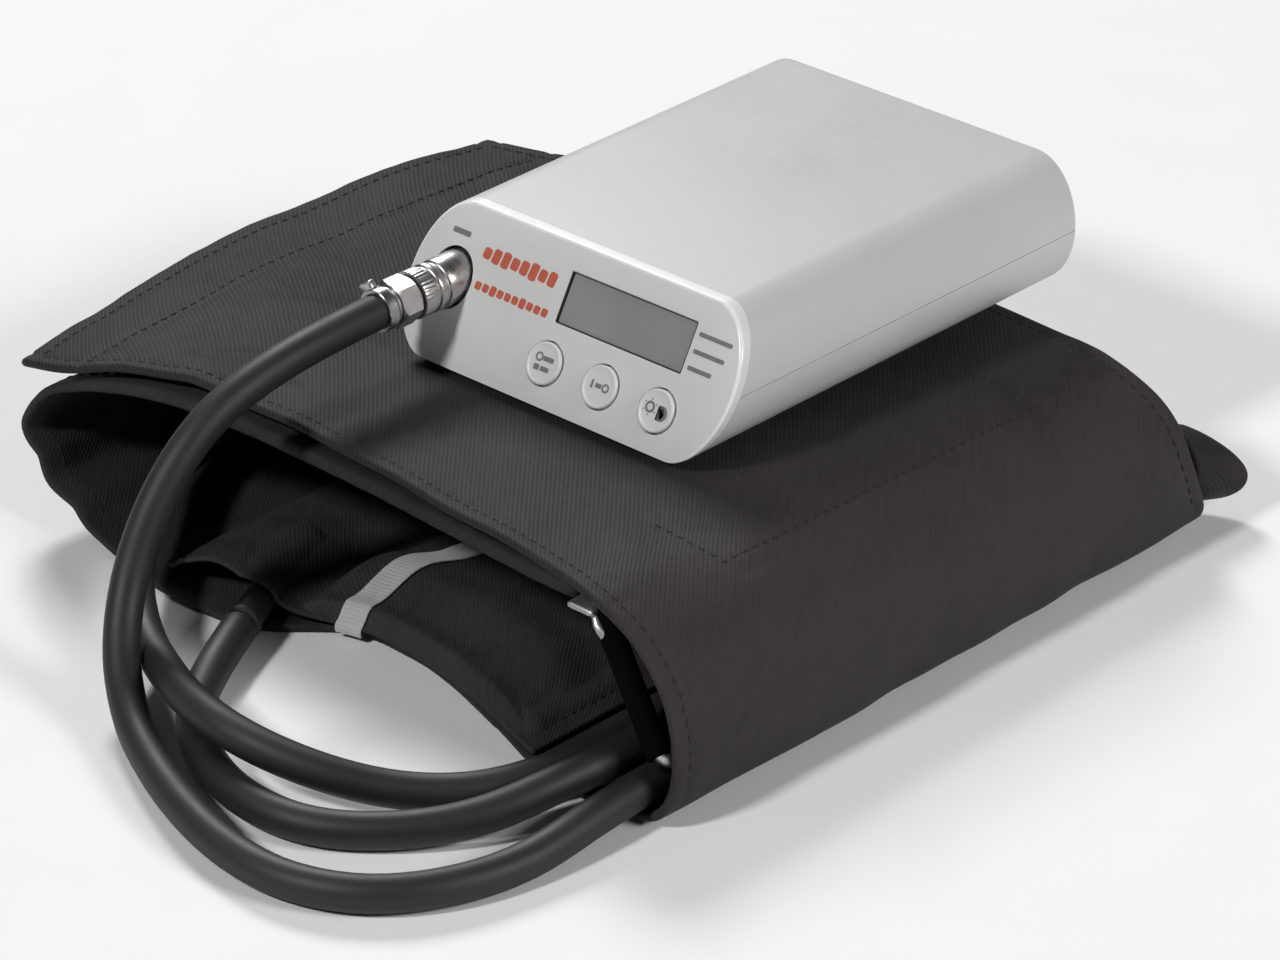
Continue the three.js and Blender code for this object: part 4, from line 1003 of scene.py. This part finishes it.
def stitch(cloth, line, key, side="top", pitch=2.7, length=2.0, radius=0.2, sink=0.06):
    """Adds a row of stitches along a polyline of (fu, fv) places on the cloth."""
    fu = np.concatenate([np.linspace(a[0], b[0], 240, endpoint=False) for a, b in zip(line, line[1:])] + [[line[-1][0]]])
    fv = np.concatenate([np.linspace(a[1], b[1], 240, endpoint=False) for a, b in zip(line, line[1:])] + [[line[-1][1]]])
    p, n = cloth.at(fu, fv, side)
    s = np.r_[0, np.cumsum(np.linalg.norm(np.diff(p, axis=0), axis=1))]
    verts, faces = STITCHES.setdefault(key, ([], []))
    prof = [(-0.5, 0.25, -0.8), (-0.42, 0.8, -0.25), (-0.2, 1.0, 0.25), (0.0, 1.0, 0.35), (0.2, 1.0, 0.25), (0.42, 0.8, -0.25), (0.5, 0.25, -0.8)]
    for c in np.arange(pitch * 0.6, s[-1] - pitch * 0.5, pitch):
        base = len(verts)
        for dx, rr, lift in prof:
            w = c + dx * length
            q = np.array([np.interp(w, s, p[:, k]) for k in range(3)])
            m_ = np.array([np.interp(w, s, n[:, k]) for k in range(3)])
            q2 = np.array([np.interp(w + 0.1, s, p[:, k]) for k in range(3)])
            t = q2 - q
            if np.linalg.norm(t) < 1e-6:
                t = q - np.array([np.interp(w - 0.1, s, p[:, k]) for k in range(3)])
            t /= np.linalg.norm(t)
            b = np.cross(t, m_)
            o = q + m_ * (radius * lift - sink)
            for a in range(6):
                an = math.pi / 3 * a
                verts.append(o + rr * radius * (1.25 * math.cos(an) * b + math.sin(an) * m_))
        for r_ in range(len(prof) - 1):
            for a in range(6):
                faces.append((base + r_ * 6 + a, base + r_ * 6 + (a + 1) % 6, base + (r_ + 1) * 6 + (a + 1) % 6, base + (r_ + 1) * 6 + a))
        faces.append(tuple(base + a for a in range(6))[::-1])
        faces.append(tuple(base + (len(prof) - 1) * 6 + a for a in range(6)))


def make_stitches():
    for key, (verts, faces) in STITCHES.items():
        o = mesh_object(key, to_row(np.array(verts)), outward(np.array(verts), faces), M_THREAD)
        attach(o, "cuff")


CLOTH, LIFT, HEM, SIDE = 1.8, 38.0, 2.6, 1.0
FLAP_F = [[-96.5, -7.0, -42.5], [-85, -4.8, -41.5], [-74, -2.9, -36.5], [-58, -1.8, -33], [-41, -1.4, -32.5], [-20, -1.35, -33.5],
  [0, -1.35, -35.5], [22, -1.35, -38], [44, -1.5, -40.5], [57, -2.1, -43.3], [67, -5.6, -44.3], [74, -12.6, -45], [77.6, -21, -46],
  [78.3, -28.6, -47], [77.3, -33.4, -48.5], [73.8, -36.3, -49], [66, -37.1, -49.5], [50, -37.1, -49.5], [31, -37.1, -43]]
FLAP_B = [[-97, -4.2, 84], [-86, -4.2, 87], [-75, -4.2, 90], [-58, -4.4, 93], [-41, -4.8, 95], [-20, -5.0, 97],
  [0, -5.0, 97], [22, -5.0, 97], [44, -5.2, 96], [57, -5.6, 95], [67, -8.6, 95], [73.6, -14, 96], [77, -21.5, 97],
  [78.0, -28.6, 99], [77.2, -33.4, 101], [73.8, -36.3, 102], [66, -37.1, 102], [50, -37.1, 102], [31, -37.1, 101]]
PANEL_F = [[30.6, -37.2, -43], [13, -37.2, -37.4], [0, -37.2, -35.3], [-14, -37.2, -36.4], [-30, -37.2, -48], [-50, -37.2, -49.5],
  [-66, -36.8, -46.8], [-77, -33.9, -46], [-86, -29.8, -45], [-92, -25.0, -45], [-94.3, -19.3, -45], [-92.8, -13.8, -44], [-87.6, -9.6, -42],
  [-78, -7.4, -38], [-64, -6.0, -35], [-45, -5.5, -34], [-20, -5.4, -34.5], [10, -5.5, -36], [35, -5.7, -37.5], [45, -5.9, -37.5]]
PANEL_B = [[30.6, -37.2, 101], [13, -37.2, 100], [0, -37.2, 99], [-14, -37.2, 98], [-30, -37.2, 98], [-50, -37.2, 97],
  [-66, -36.8, 96], [-77, -33.9, 95], [-86, -29.8, 94], [-92, -25.0, 94], [-94.3, -19.3, 93], [-92.8, -14.5, 92], [-87.6, -11.4, 91],
  [-78, -9.8, 90], [-64, -9.2, 92], [-45, -9.0, 94], [-20, -9.0, 95], [10, -9.0, 95], [35, -9.2, 94], [45, -9.4, 94]]


def strip(front, back, nu, nv):
    u, length = even(front, nu)
    F, B = track(front, u), track(back, u)
    v = np.linspace(0, 1, nv + 1)
    G = F[:, None, :] * (1 - v)[None, :, None] + B[:, None, :] * v[None, :, None]
    return G[:, :, [0, 2, 1]], u, v


def make_flap():
    C, u, v = strip(FLAP_F, FLAP_B, 260, 150)
    w = np.maximum(0, 1 - u * 18 / 4)[:, None]
    s = np.sin(math.pi * v)[None, :]
    C[:, :, 0] -= 5.5 * s * w * w
    C[:, :, 2] += 2.0 * s * w
    C[:, :, 2] = np.maximum(C[:, :, 2], CLOTH / 2 - LIFT)
    X, Y = C[:, :, 0], C[:, :, 1]
    top_side = (C[:, :, 2] > -14) | (u[:, None] < 0.62)
    flat = u[:, None] < 0.55
    # how far a place is from the housing's footprint, so that nothing rises under it
    clear = np.maximum(np.maximum(np.abs(X) - 40, -6 - Y), 0)
    free = step(clear, 0, 16) * flat + (1 - flat)
    bottom = step(u[:, None], 0.80, 0.86)
    wob = 0.55 * ripple(X, Y, 46, 11) + 0.25 * ripple(X, Y, 19, 12)
    lift = (wob * 0.9 + 0.15) * free * (1 - bottom)
    # soft creases that the photograph shows left of the hose
    for line, width, depth in (([(-66, -24), (-58, -19), (-50, -17), (-42, -20)], 2.6, -0.55), ([(-70, -2), (-60, 4), (-52, 14)], 4.0, 0.5), ([(-60, -32), (-52, -26), (-46, -24)], 3.2, 0.45)):
        lift = lift + depth * fold_mark(X, Y, line, width) * flat
    N = grid_normals(C)
    sign = np.sign((N[10, 75] * np.array([0, 0, 1])).sum())
    C = C + N * (sign * lift)[:, :, None]
    C[:, :, 2] = np.maximum(C[:, :, 2], CLOTH / 2 - LIFT)
    under = (clear < 1) & flat
    C[:, :, 2] = np.where(under, np.minimum(C[:, :, 2], -0.95 - 0.35), C[:, :, 2])
    # seams pressed into the cloth: hem, hook tape's edge, sewn rectangle
    sv = v[None, :] * 140
    su = (np.arange(261) / 260 * 250)[:, None]
    groove = np.exp(-(((sv - HEM) / 0.7) ** 2)) + np.exp(-(((140 - sv - HEM) / 0.7) ** 2)) + np.exp(-(((su - HEM) / 0.7) ** 2)) + 0 * sv
    groove = groove + fold_mark(X, Y, [(-83, -44), (-83, 88)], 0.9) * flat
    groove = groove + fold_mark(X, Y, [(40, -16), (65, -16), (65, 70), (40, 70)], 0.9) * (u[:, None] < 0.64)
    pucker = 0.08 * np.exp(-(((sv - HEM) / 2.6) ** 2)) * np.sin(su * 2 * math.pi / 5.4) + 0.06 * ripple(X, Y, 7, 13)
    rel = -0.32 * np.clip(groove, 0, 1) + pucker * (1 - 0.8 * np.clip(groove, 0, 1))
    low = step(u[:, None], 0.74, 0.80)
    top_d = rel * free if sign > 0 else rel * 0
    a = Cloth("flap", C, CLOTH, M_CLOTH, top=top_d * (1 - low) if sign > 0 else None, bottom=None if sign > 0 else rel * free * (1 - low))
    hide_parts("cuff_flap")
    side = "top" if sign > 0 else "bottom"
    hem = HEM / 140
    stitch(a, [(0.010, hem), (0.80, hem)], "flap_stitches", side)
    stitch(a, [(0.010, 1 - hem), (0.80, 1 - hem)], "flap_stitches", side)
    stitch(a, [(0.010, hem), (0.010, 1 - hem)], "flap_stitches", side)
    # places in the grid for a given x, y on the flat part
    def place(x, y):
        j = int(np.argmin(np.abs(C[60, :, 1] - y)))
        i = int(np.argmin(np.abs(C[:170, j, 0] - x)))
        f0, f1 = C[i, 0, 1], C[i, -1, 1]
        return i / 260, (y - f0) / (f1 - f0)
    stitch(a, [place(-83, -38), place(-83, 84)], "flap_stitches", side)
    stitch(a, [place(44, -16), place(65, -16), place(65, 70), place(44, 70)], "flap_stitches", side)
    return a, sign


def make_panel():
    C, u, v = strip(PANEL_F, PANEL_B, 280, 130)
    th = CLOTH - 0.2 + 1.5 * step(u[:, None], 11 / 19, 14 / 19) + 0 * v[None, :]
    C[:, :, 2] = np.maximum(C[:, :, 2], th / 2 - LIFT)
    X, Y = C[:, :, 0], C[:, :, 1]
    N = grid_normals(C)
    fold = step(u[:, None], 0.30, 0.40) * (1 - step(u[:, None], 0.60, 0.72))
    lift = (0.5 * ripple(X + C[:, :, 2], Y, 40, 21) + 0.2 * ripple(X + C[:, :, 2], Y, 15, 22)) * fold
    mouth = 1 - step(v[None, :], 0.02, 0.30)
    turn = step(u[:, None], 0.34, 0.40) * (1 - step(u[:, None], 0.56, 0.62))
    lump = -1.5 * np.exp(-(((u[:, None] - 0.475) / 0.022) ** 2)) + 0.9 * np.exp(-(((u[:, None] - 0.435) / 0.02) ** 2)) - 1.1 * np.exp(-(((u[:, None] - 0.39) / 0.016) ** 2)) + 0.7 * np.exp(-(((u[:, None] - 0.53) / 0.02) ** 2))
    lift = lift + SIDE * lump * turn * mouth
    upper = step(u[:, None], 0.70, 0.80)
    lift = lift + 0.12 * ripple(X, Y, 30, 23) * upper
    C = C + N * lift[:, :, None]
    C[:, :, 2] = np.maximum(C[:, :, 2], th / 2 - LIFT)
    fine = 0.05 * ripple(X, Y, 6, 24) * step(u[:, None], 0.28, 0.34)
    a = Cloth("lining", C, th, M_LINING_PAINTED_LIGHT, top=fine, bottom=fine, slot="cloth_inner")
    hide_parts("cuff_panel")
    for side in ("top", "bottom"):
        stitch(a, [(0.33, 0.03), (0.985, 0.03)], "lining_stitches", side)
    return a


STUB = [[-25.4, -54.0, -33.05], [-29.6, -46.0, -33.3], [-34.2, -36.0, -33.3], [-36.5, -27.0, -33.3]]


def cover_front(x):
    rows = np.array([[-44.3], [-45.8], [-45.8], [-43.9], [-38.9], [-36.9], [-37.4], [-38.9], [-41.4], [-44.5], [-47.6]])
    return track(rows, (np.asarray(x, float).ravel() + 56) / 100)[:, 0].reshape(np.shape(x))


def from_stub(x, y):
    d = np.full(np.shape(x), 1e9)
    for (ax, ay, _), (bx, by, _) in zip(STUB, STUB[1:]):
        t = np.clip(((x - ax) * (bx - ax) + (y - ay) * (by - ay)) / ((bx - ax) ** 2 + (by - ay) ** 2), 0, 1)
        d = np.minimum(d, np.hypot(x - ax - t * (bx - ax), y - ay - t * (by - ay)))
    return d


def cover_at(x, y):
    """Height of the pocket's cover: an arch over the tube at the mouth, and a
    bladder that stands up behind the front edge."""
    f = y - cover_front(x)
    edge = step(np.minimum(np.minimum(x + 56, 44 - x), 93 - y), 0, 5)
    arch = 7.3 * np.exp(-(((x + 39) / 12.5) ** 2)) * (1 - step(f, 14, 40))
    d = from_stub(x, y)
    over = np.where(d < 3.9, 2.0 + np.sqrt(np.maximum(3.9 ** 2 - d ** 2, 0)), 2.0 * (1 - step(d, 3.9, 9))) * (1 - step(f, 20, 40))
    puff = (3.2 * step(f, -0.4, 2.6) + 3.1 * step(f, 4, 16) - 1.7 * step(f, 16, 26) - 2.4 * step(f, 26, 48)) * step(x, -27, -19) * (1 - step(x, 28, 43))
    flat = np.maximum(2.2 * step(f, 0, 5), puff)
    z = -35.3 + edge * (arch ** 4 + over ** 4 + flat ** 4) ** 0.25
    # wrinkles, pulled from the mouth and across the bladder
    inside = step(np.minimum(np.minimum(x + 56, 44 - x), 93 - y), 1, 9) * step(f, 2, 9)
    wrinkle = 0.30 * ripple(x, y, 26, 31) + 0.16 * ripple(x, y, 11, 32) + 0.05
    wrinkle = wrinkle - 0.55 * fold_mark(x, y, [(-27, -30), (-22, -24), (-20, -12)], 2.2)
    wrinkle = wrinkle + 0.55 * fold_mark(x, y, [(-47, -28), (-40, -14), (-36, 4)], 3.2)
    wrinkle = wrinkle + 0.5 * fold_mark(x, y, [(4, -28), (9, -16), (20, -8)], 3.0) - 0.45 * fold_mark(x, y, [(16, -33), (20, -20), (30, -12)], 2.4)
    bunch = 0.16 * np.sin((x + 0.25 * y) * 2 * math.pi / 4.6) * step(f, 1, 5) * (1 - step(f, 8, 20)) * step(x, -20, -8)
    return z + inside * wrinkle * np.where(over > 2, 0.25, 1.0) + bunch * 0.6 * edge


def make_cover():
    nu, nv = 220, 230
    x = np.linspace(-56, 44, nu + 1)
    t = np.linspace(0, 1, nv + 1)
    t = 0.25 * t + 0.75 * t * t
    y0 = cover_front(x)
    X = x[:, None] + 0 * t[None, :]
    Y = y0[:, None] + (93 - y0)[:, None] * t[None, :]
    Z = cover_at(X, Y)
    seam = np.exp(-(((X + 53.4) / 0.55) ** 2)) + np.exp(-(((X - 41.4) / 0.55) ** 2)) + np.exp(-(((93 - Y - 2.6) / 0.55) ** 2))
    a = Cloth("pocket_cover", np.stack([X, Y, Z], 2), 1.1, M_INNER_PAINTED_LIGHT, top=-0.2 * np.clip(seam, 0, 1), slot="cloth_inner")
    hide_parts("bladder_cover")
    side = "top" if a.N[nu // 2, nv // 2, 2] > 0 else "bottom"
    for line in ([(0.026, 0.02), (0.026, 0.985)], [(0.974, 0.02), (0.974, 0.985)]):
        stitch(a, line, "cover_stitches", side, pitch=2.5, length=1.9, radius=0.16)
    return a


def make_tape():
    """Woven ribbon that lies on the cover and turns down over the front edge."""
    xs = np.linspace(-15.3, -10.1, 11)
    s = np.r_[np.linspace(0.0, 6, 40, endpoint=False), np.linspace(6, 30, 60, endpoint=False), np.linspace(30, 122, 90)]
    X = xs[:, None] + 0 * s[None, :]
    y0 = cover_front(xs)[:, None]
    Y = y0 + (93 - y0) * s[None, :] / 130
    X = X + 2.5 * step(s, 12, 34)[None, :] + 0.3 * np.sin(Y / 19.0) * step(s, 8, 30)[None, :]
    Z = cover_at(X, Y)
    e = 0.3
    nx = -(cover_at(X + e, Y) - cover_at(X - e, Y)) / (2 * e)
    ny = -(cover_at(X, Y + e) - cover_at(X, Y - e)) / (2 * e)
    n = np.stack([nx, ny, np.ones_like(nx)], 2)
    n /= np.linalg.norm(n, axis=2)[:, :, None]
    C = np.stack([X, Y, Z], 2) + n * (0.55 + 0.25 + 0.06)
    k = 10
    t = np.linspace(0, 1, k, endpoint=False)
    first = C[:, 0]
    edge = np.stack([xs, cover_front(xs) - 0.75, np.full(len(xs), -36.5)], 1)
    mid = np.stack([xs, cover_front(xs) - 1.25, np.full(len(xs), -35.2)], 1)
    W = edge[:, None] * ((1 - t) ** 2)[None, :, None] + mid[:, None] * (2 * t * (1 - t))[None, :, None] + first[:, None] * (t * t)[None, :, None]
    C = np.concatenate([W, C], 1)
    for _ in range(2):
        C[:, 1:24] = 0.25 * C[:, 0:23] + 0.5 * C[:, 1:24] + 0.25 * C[:, 2:25]
    a = Cloth("ribbon", C, 0.45, M_TAPE, rounds=4, slot="tape")
    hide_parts("range_tape")
    return a


flap, flap_sign = make_flap()
lining = make_panel()
cover = make_cover()
tape = make_tape()
for c in (flap, lining, cover, tape):
    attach(c.ob, "cuff")


def make_hook():
    C, u, v = strip(FLAP_F, FLAP_B, 260, 150)
    w = np.maximum(0, 1 - u * 18 / 4)[:, None]
    s = np.sin(math.pi * v)[None, :]
    C[:, :, 0] -= 5.5 * s * w * w
    C[:, :, 2] += 2.0 * s * w
    i0, i1 = [int(np.argmin(np.abs(u - x))) for x in (0.028, 0.062)]
    j0, j1 = int(0.08 * 150), int(0.92 * 150)
    G = C[i0:i1 + 1, j0:j1 + 1].copy()
    G[:, :, 2] -= CLOTH / 2 + 0.3 + 0.75
    a = Cloth("hook_strip", G, 0.7, M_HOOK, rounds=3, slot="hook")
    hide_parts("hook_patch")
    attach(a.ob, "cuff")


make_hook()

# the tube that comes out of the pocket, with a moulded ring where the hose ends
stub_q = smooth_route([[-25.45, -54.1, -33.05]] + STUB[1:], 1.0)
stub_r = np.full(len(stub_q), 3.1)
stub_r[:3] = [3.5, 3.62, 3.5]
stub = tube_mesh("pocket_tube", stub_q, stub_r, 32, M_HOSE)
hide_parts("bladder_tube")
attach(stub, "cuff")


# ------------------------------------------------------------- ring and loop
RA, RB, RR = (51.5, -6.3), (74.5, -26.9), 1.9


def ring_path(n_corner=12, rr=5.5, step_=1.2):
    c = [(RA[0], -37.5, RA[1]), (RB[0], -46, RB[1]), (RB[0], 98.5, RB[1] - 0.4), (RA[0], 96.5, RA[1] - 3.6)]
    c = [np.array(p, float) for p in c]
    pts = []
    for i in range(4):
        p, q, o = c[i], c[(i + 1) % 4], c[i - 1]
        a = p + (o - p) / np.linalg.norm(o - p) * rr
        b = p + (q - p) / np.linalg.norm(q - p) * rr
        for k in range(n_corner + 1):
            t = k / n_corner
            pts.append(a * (1 - t) ** 2 + p * 2 * t * (1 - t) + b * t * t)
    pts = np.array(pts + [pts[0]])
    s = np.r_[0, np.cumsum(np.linalg.norm(np.diff(pts, axis=0), axis=1))]
    t = np.linspace(0, s[-1], int(s[-1] / step_), endpoint=False)
    return np.stack([np.interp(t, s, pts[:, k]) for k in range(3)], 1), c[0]


def closed_tube(name, pts, r, sides, up_dir, material):
    n = len(pts)
    t = np.roll(pts, -1, 0) - np.roll(pts, 1, 0)
    t /= np.linalg.norm(t, axis=1)[:, None]
    s = np.cross(up_dir, t)
    s /= np.linalg.norm(s, axis=1)[:, None]
    w = np.cross(t, s)
    a = 2 * math.pi * np.arange(sides) / sides
    ra, rb = (np.broadcast_to(np.asarray(x, float), (n,))[:, None, None] for x in r)
    v = (pts[:, None] + ra * np.cos(a)[None, :, None] * s[:, None] + rb * np.sin(a)[None, :, None] * w[:, None]).reshape(-1, 3)
    f = []
    for i in range(n):
        for k in range(sides):
            f.append((i * sides + k, i * sides + (k + 1) % sides, ((i + 1) % n) * sides + (k + 1) % sides, ((i + 1) % n) * sides + k))
    return mesh_object(name, to_row(v), outward(v, f), material)


ring_up = np.cross([RB[0] - RA[0], 0, RB[1] - RA[1]], [0, 1, 0])
ring_pts_, corner = ring_path()
near = 1 - step(np.linalg.norm(ring_pts_ - corner, axis=1), 4.6, 8.0)
# the wire is pressed flat at the corner that shows in the opening
ring = closed_tube("cuff_ring", ring_pts_, (RR + 1.3 * near, RR - 0.65 * near), 24, ring_up / np.linalg.norm(ring_up), M_RING)
# a near-black sleeve over the ring's front bar, painted shade: it makes the bar read as the shaded inside of the cuff
low = np.array([RB[0], -46, RB[1]])
bar_a, bar_b = corner + (low - corner) * 0.04, corner + (low - corner) * 0.95
sleeve_p = np.array([bar_a * (1 - t) + bar_b * t for t in np.linspace(0, 1, 22)])
ring_sleeve_painted_shade = tube_mesh("ring_sleeve_painted_shade", sleeve_p, RR + 0.45, 24, M_SHADE_SLEEVE)
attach(ring_sleeve_painted_shade, "cuff")
# the flat end of the ring's upper bar, which looks out past the flap's corner
plate_loops = [[(x, y, z) for x, y in rounded_rect(46.9 + i, 53.2 - i, -41.4 + i, -35.8 - i, 0.6)] for i, z in ((0.35, -7.25), (0.0, -6.9), (0.0, -6.3), (0.35, -5.95))]
plate_v, plate_f = loft(plate_loops)
plate_v = np.array(plate_v, float)
ring_plate = mesh_object("ring_plate", to_row(plate_v), outward(plate_v, plate_f), M_PLATE)
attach(ring_plate, "cuff")
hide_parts("metal_ring")
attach(ring, "cuff")


def make_ring_loop():
    sec = [[45.7, RA[1] + 1.15]]
    for i in range(13):
        t = math.pi * 0.80 - math.pi * 1.60 * i / 12
        sec.append([RA[0] + 3.3 * math.cos(t), RA[1] + 3.3 * math.sin(t) * 0.92])
    sec.append([45.7, RA[1] - 0.75])
    u, _ = even(sec, 60)
    q = track(sec, u)
    v = np.linspace(0, 1, 81)
    y = -31 + 120 * v
    C = np.zeros((len(u), len(v), 3))
    C[:, :, 0] = q[:, 0][:, None]
    C[:, :, 1] = y[None, :]
    C[:, :, 2] = q[:, 1][:, None] - 0.18 - 3.3 * (y + 37.5)[None, :] / 134
    C[:, :, 0] += 0.12 * ripple(C[:, :, 1], C[:, :, 2], 14, 41) * step(q[:, 0], 46.5, 49)[:, None]
    a = Cloth("ring_strap", C, 1.1, M_INNER_PAINTED_LIGHT, rounds=4, slot="cloth_inner")
    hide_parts("ring_loop")
    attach(a.ob, "cuff")
    return a


def make_tongue():
    u = np.linspace(0, 1, 71)
    v = np.linspace(0, 1, 41)
    a_ = np.radians(-78 + 156 * u)[:, None]
    c, w = np.cos(a_), v[None, :]
    x = 66 + (9.5 + 3.5 * w) * c
    y = 102.2 + 10 * w * np.maximum(c, 0) ** 0.7
    z = -27.2 - 2.6 * w * c + (8.2 - 0.6 * w) * np.sin(a_) - w * np.maximum(0, np.sin(2 * a_))
    a = Cloth("tongue", np.stack([x, y, z], 2), 1.6, M_CLOTH, rounds=5)
    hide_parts("fold_tongue")
    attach(a.ob, "cuff")
    return a


ring_loop = make_ring_loop()
tongue = make_tongue()
make_stitches()



def flat_of(c):
    return (round(c.width / 1000, 3), round(c.length / 1000, 3))


flat_of(flap)

# -------------------------------------------- materials of the CAD nodes kept
KEEP = {"case_screw_1": M_STEEL, "case_screw_2": M_STEEL, "case_screw_3": M_STEEL, "case_screw_4": M_STEEL,
        "battery_tray": M_TRAY, "battery_cell_1": M_CELL, "battery_cell_2": M_CELL, "contact_plate_1": M_STEEL, "contact_plate_2": M_STEEL,
        "contact_spring_1": M_STEEL, "contact_spring_2": M_STEEL, "main_board": M_BOARD, "pump_motor": M_MOTOR, "pump_head": M_BLACKP,
        "release_valve": M_BLACKP, "pressure_sensor": M_BLACKP, "sounder": M_BLACKP, "air_tube": M_RUBBER, "lcd_module": M_WINDOW,
        "key_board": M_BOARD, "dome_switch_left": M_STEEL, "dome_switch_centre": M_STEEL, "dome_switch_right": M_STEEL,
        "port_cup": M_CUP, "port_nipple": M_STEEL, "port_o_ring": M_RUBBER, "coupling_spring": M_STEEL, "air_bladder": M_RUBBER}
for name, material in KEEP.items():
    for s in NODES[name].material_slots:
        s.material = material

# --------------------------------------------------------- floor and lights
fm = Mat("floor_paper", (0.95, 0.95, 0.95), 0.8)
n = fm.noise(40, 3, 0.5)
fm.color(fm.ramp(n, [(0.3, (0.935, 0.935, 0.935)), (0.7, (0.95, 0.95, 0.95))]))
floor = mesh_object("floor", [(-4, -4, 0), (4, -4, 0), (4, 4, 0), (-4, 4, 0)], [(0, 1, 2, 3)], fm.m, smooth=False)

world = bpy.data.worlds.new("studio")
world.use_nodes = True
bg = world.node_tree.nodes["Background"]
bg.inputs[0].default_value = (1.0, 1.0, 1.0, 1)
bg.inputs[1].default_value = 0.05
scene.world = world


def area(name, direction, distance, size, power, target=(0.0, 0.0, 0.03), color=(1, 1, 1)):
    l = bpy.data.lights.new(name, "AREA")
    l.shape, l.size, l.size_y = "RECTANGLE", size[0], size[1]
    l.energy, l.color = power, color
    o = bpy.data.objects.new(name, l)
    scene.collection.objects.link(o)
    d = Vector(direction).normalized()
    o.location = Vector(target) + d * distance
    o.rotation_euler = (-d).to_track_quat("-Z", "Y").to_euler()
    return o


area("key", (-0.64, 0.42, 0.62), 1.6, (0.42, 0.42), 15.0)
area("front", (-0.125, -0.745, 0.655), 1.6, (0.2, 0.2), 11.8)
area("side", (0.85, 0.15, 0.49), 1.3, (0.4, 0.3), 8.2)

bpy.context.view_layer.update()
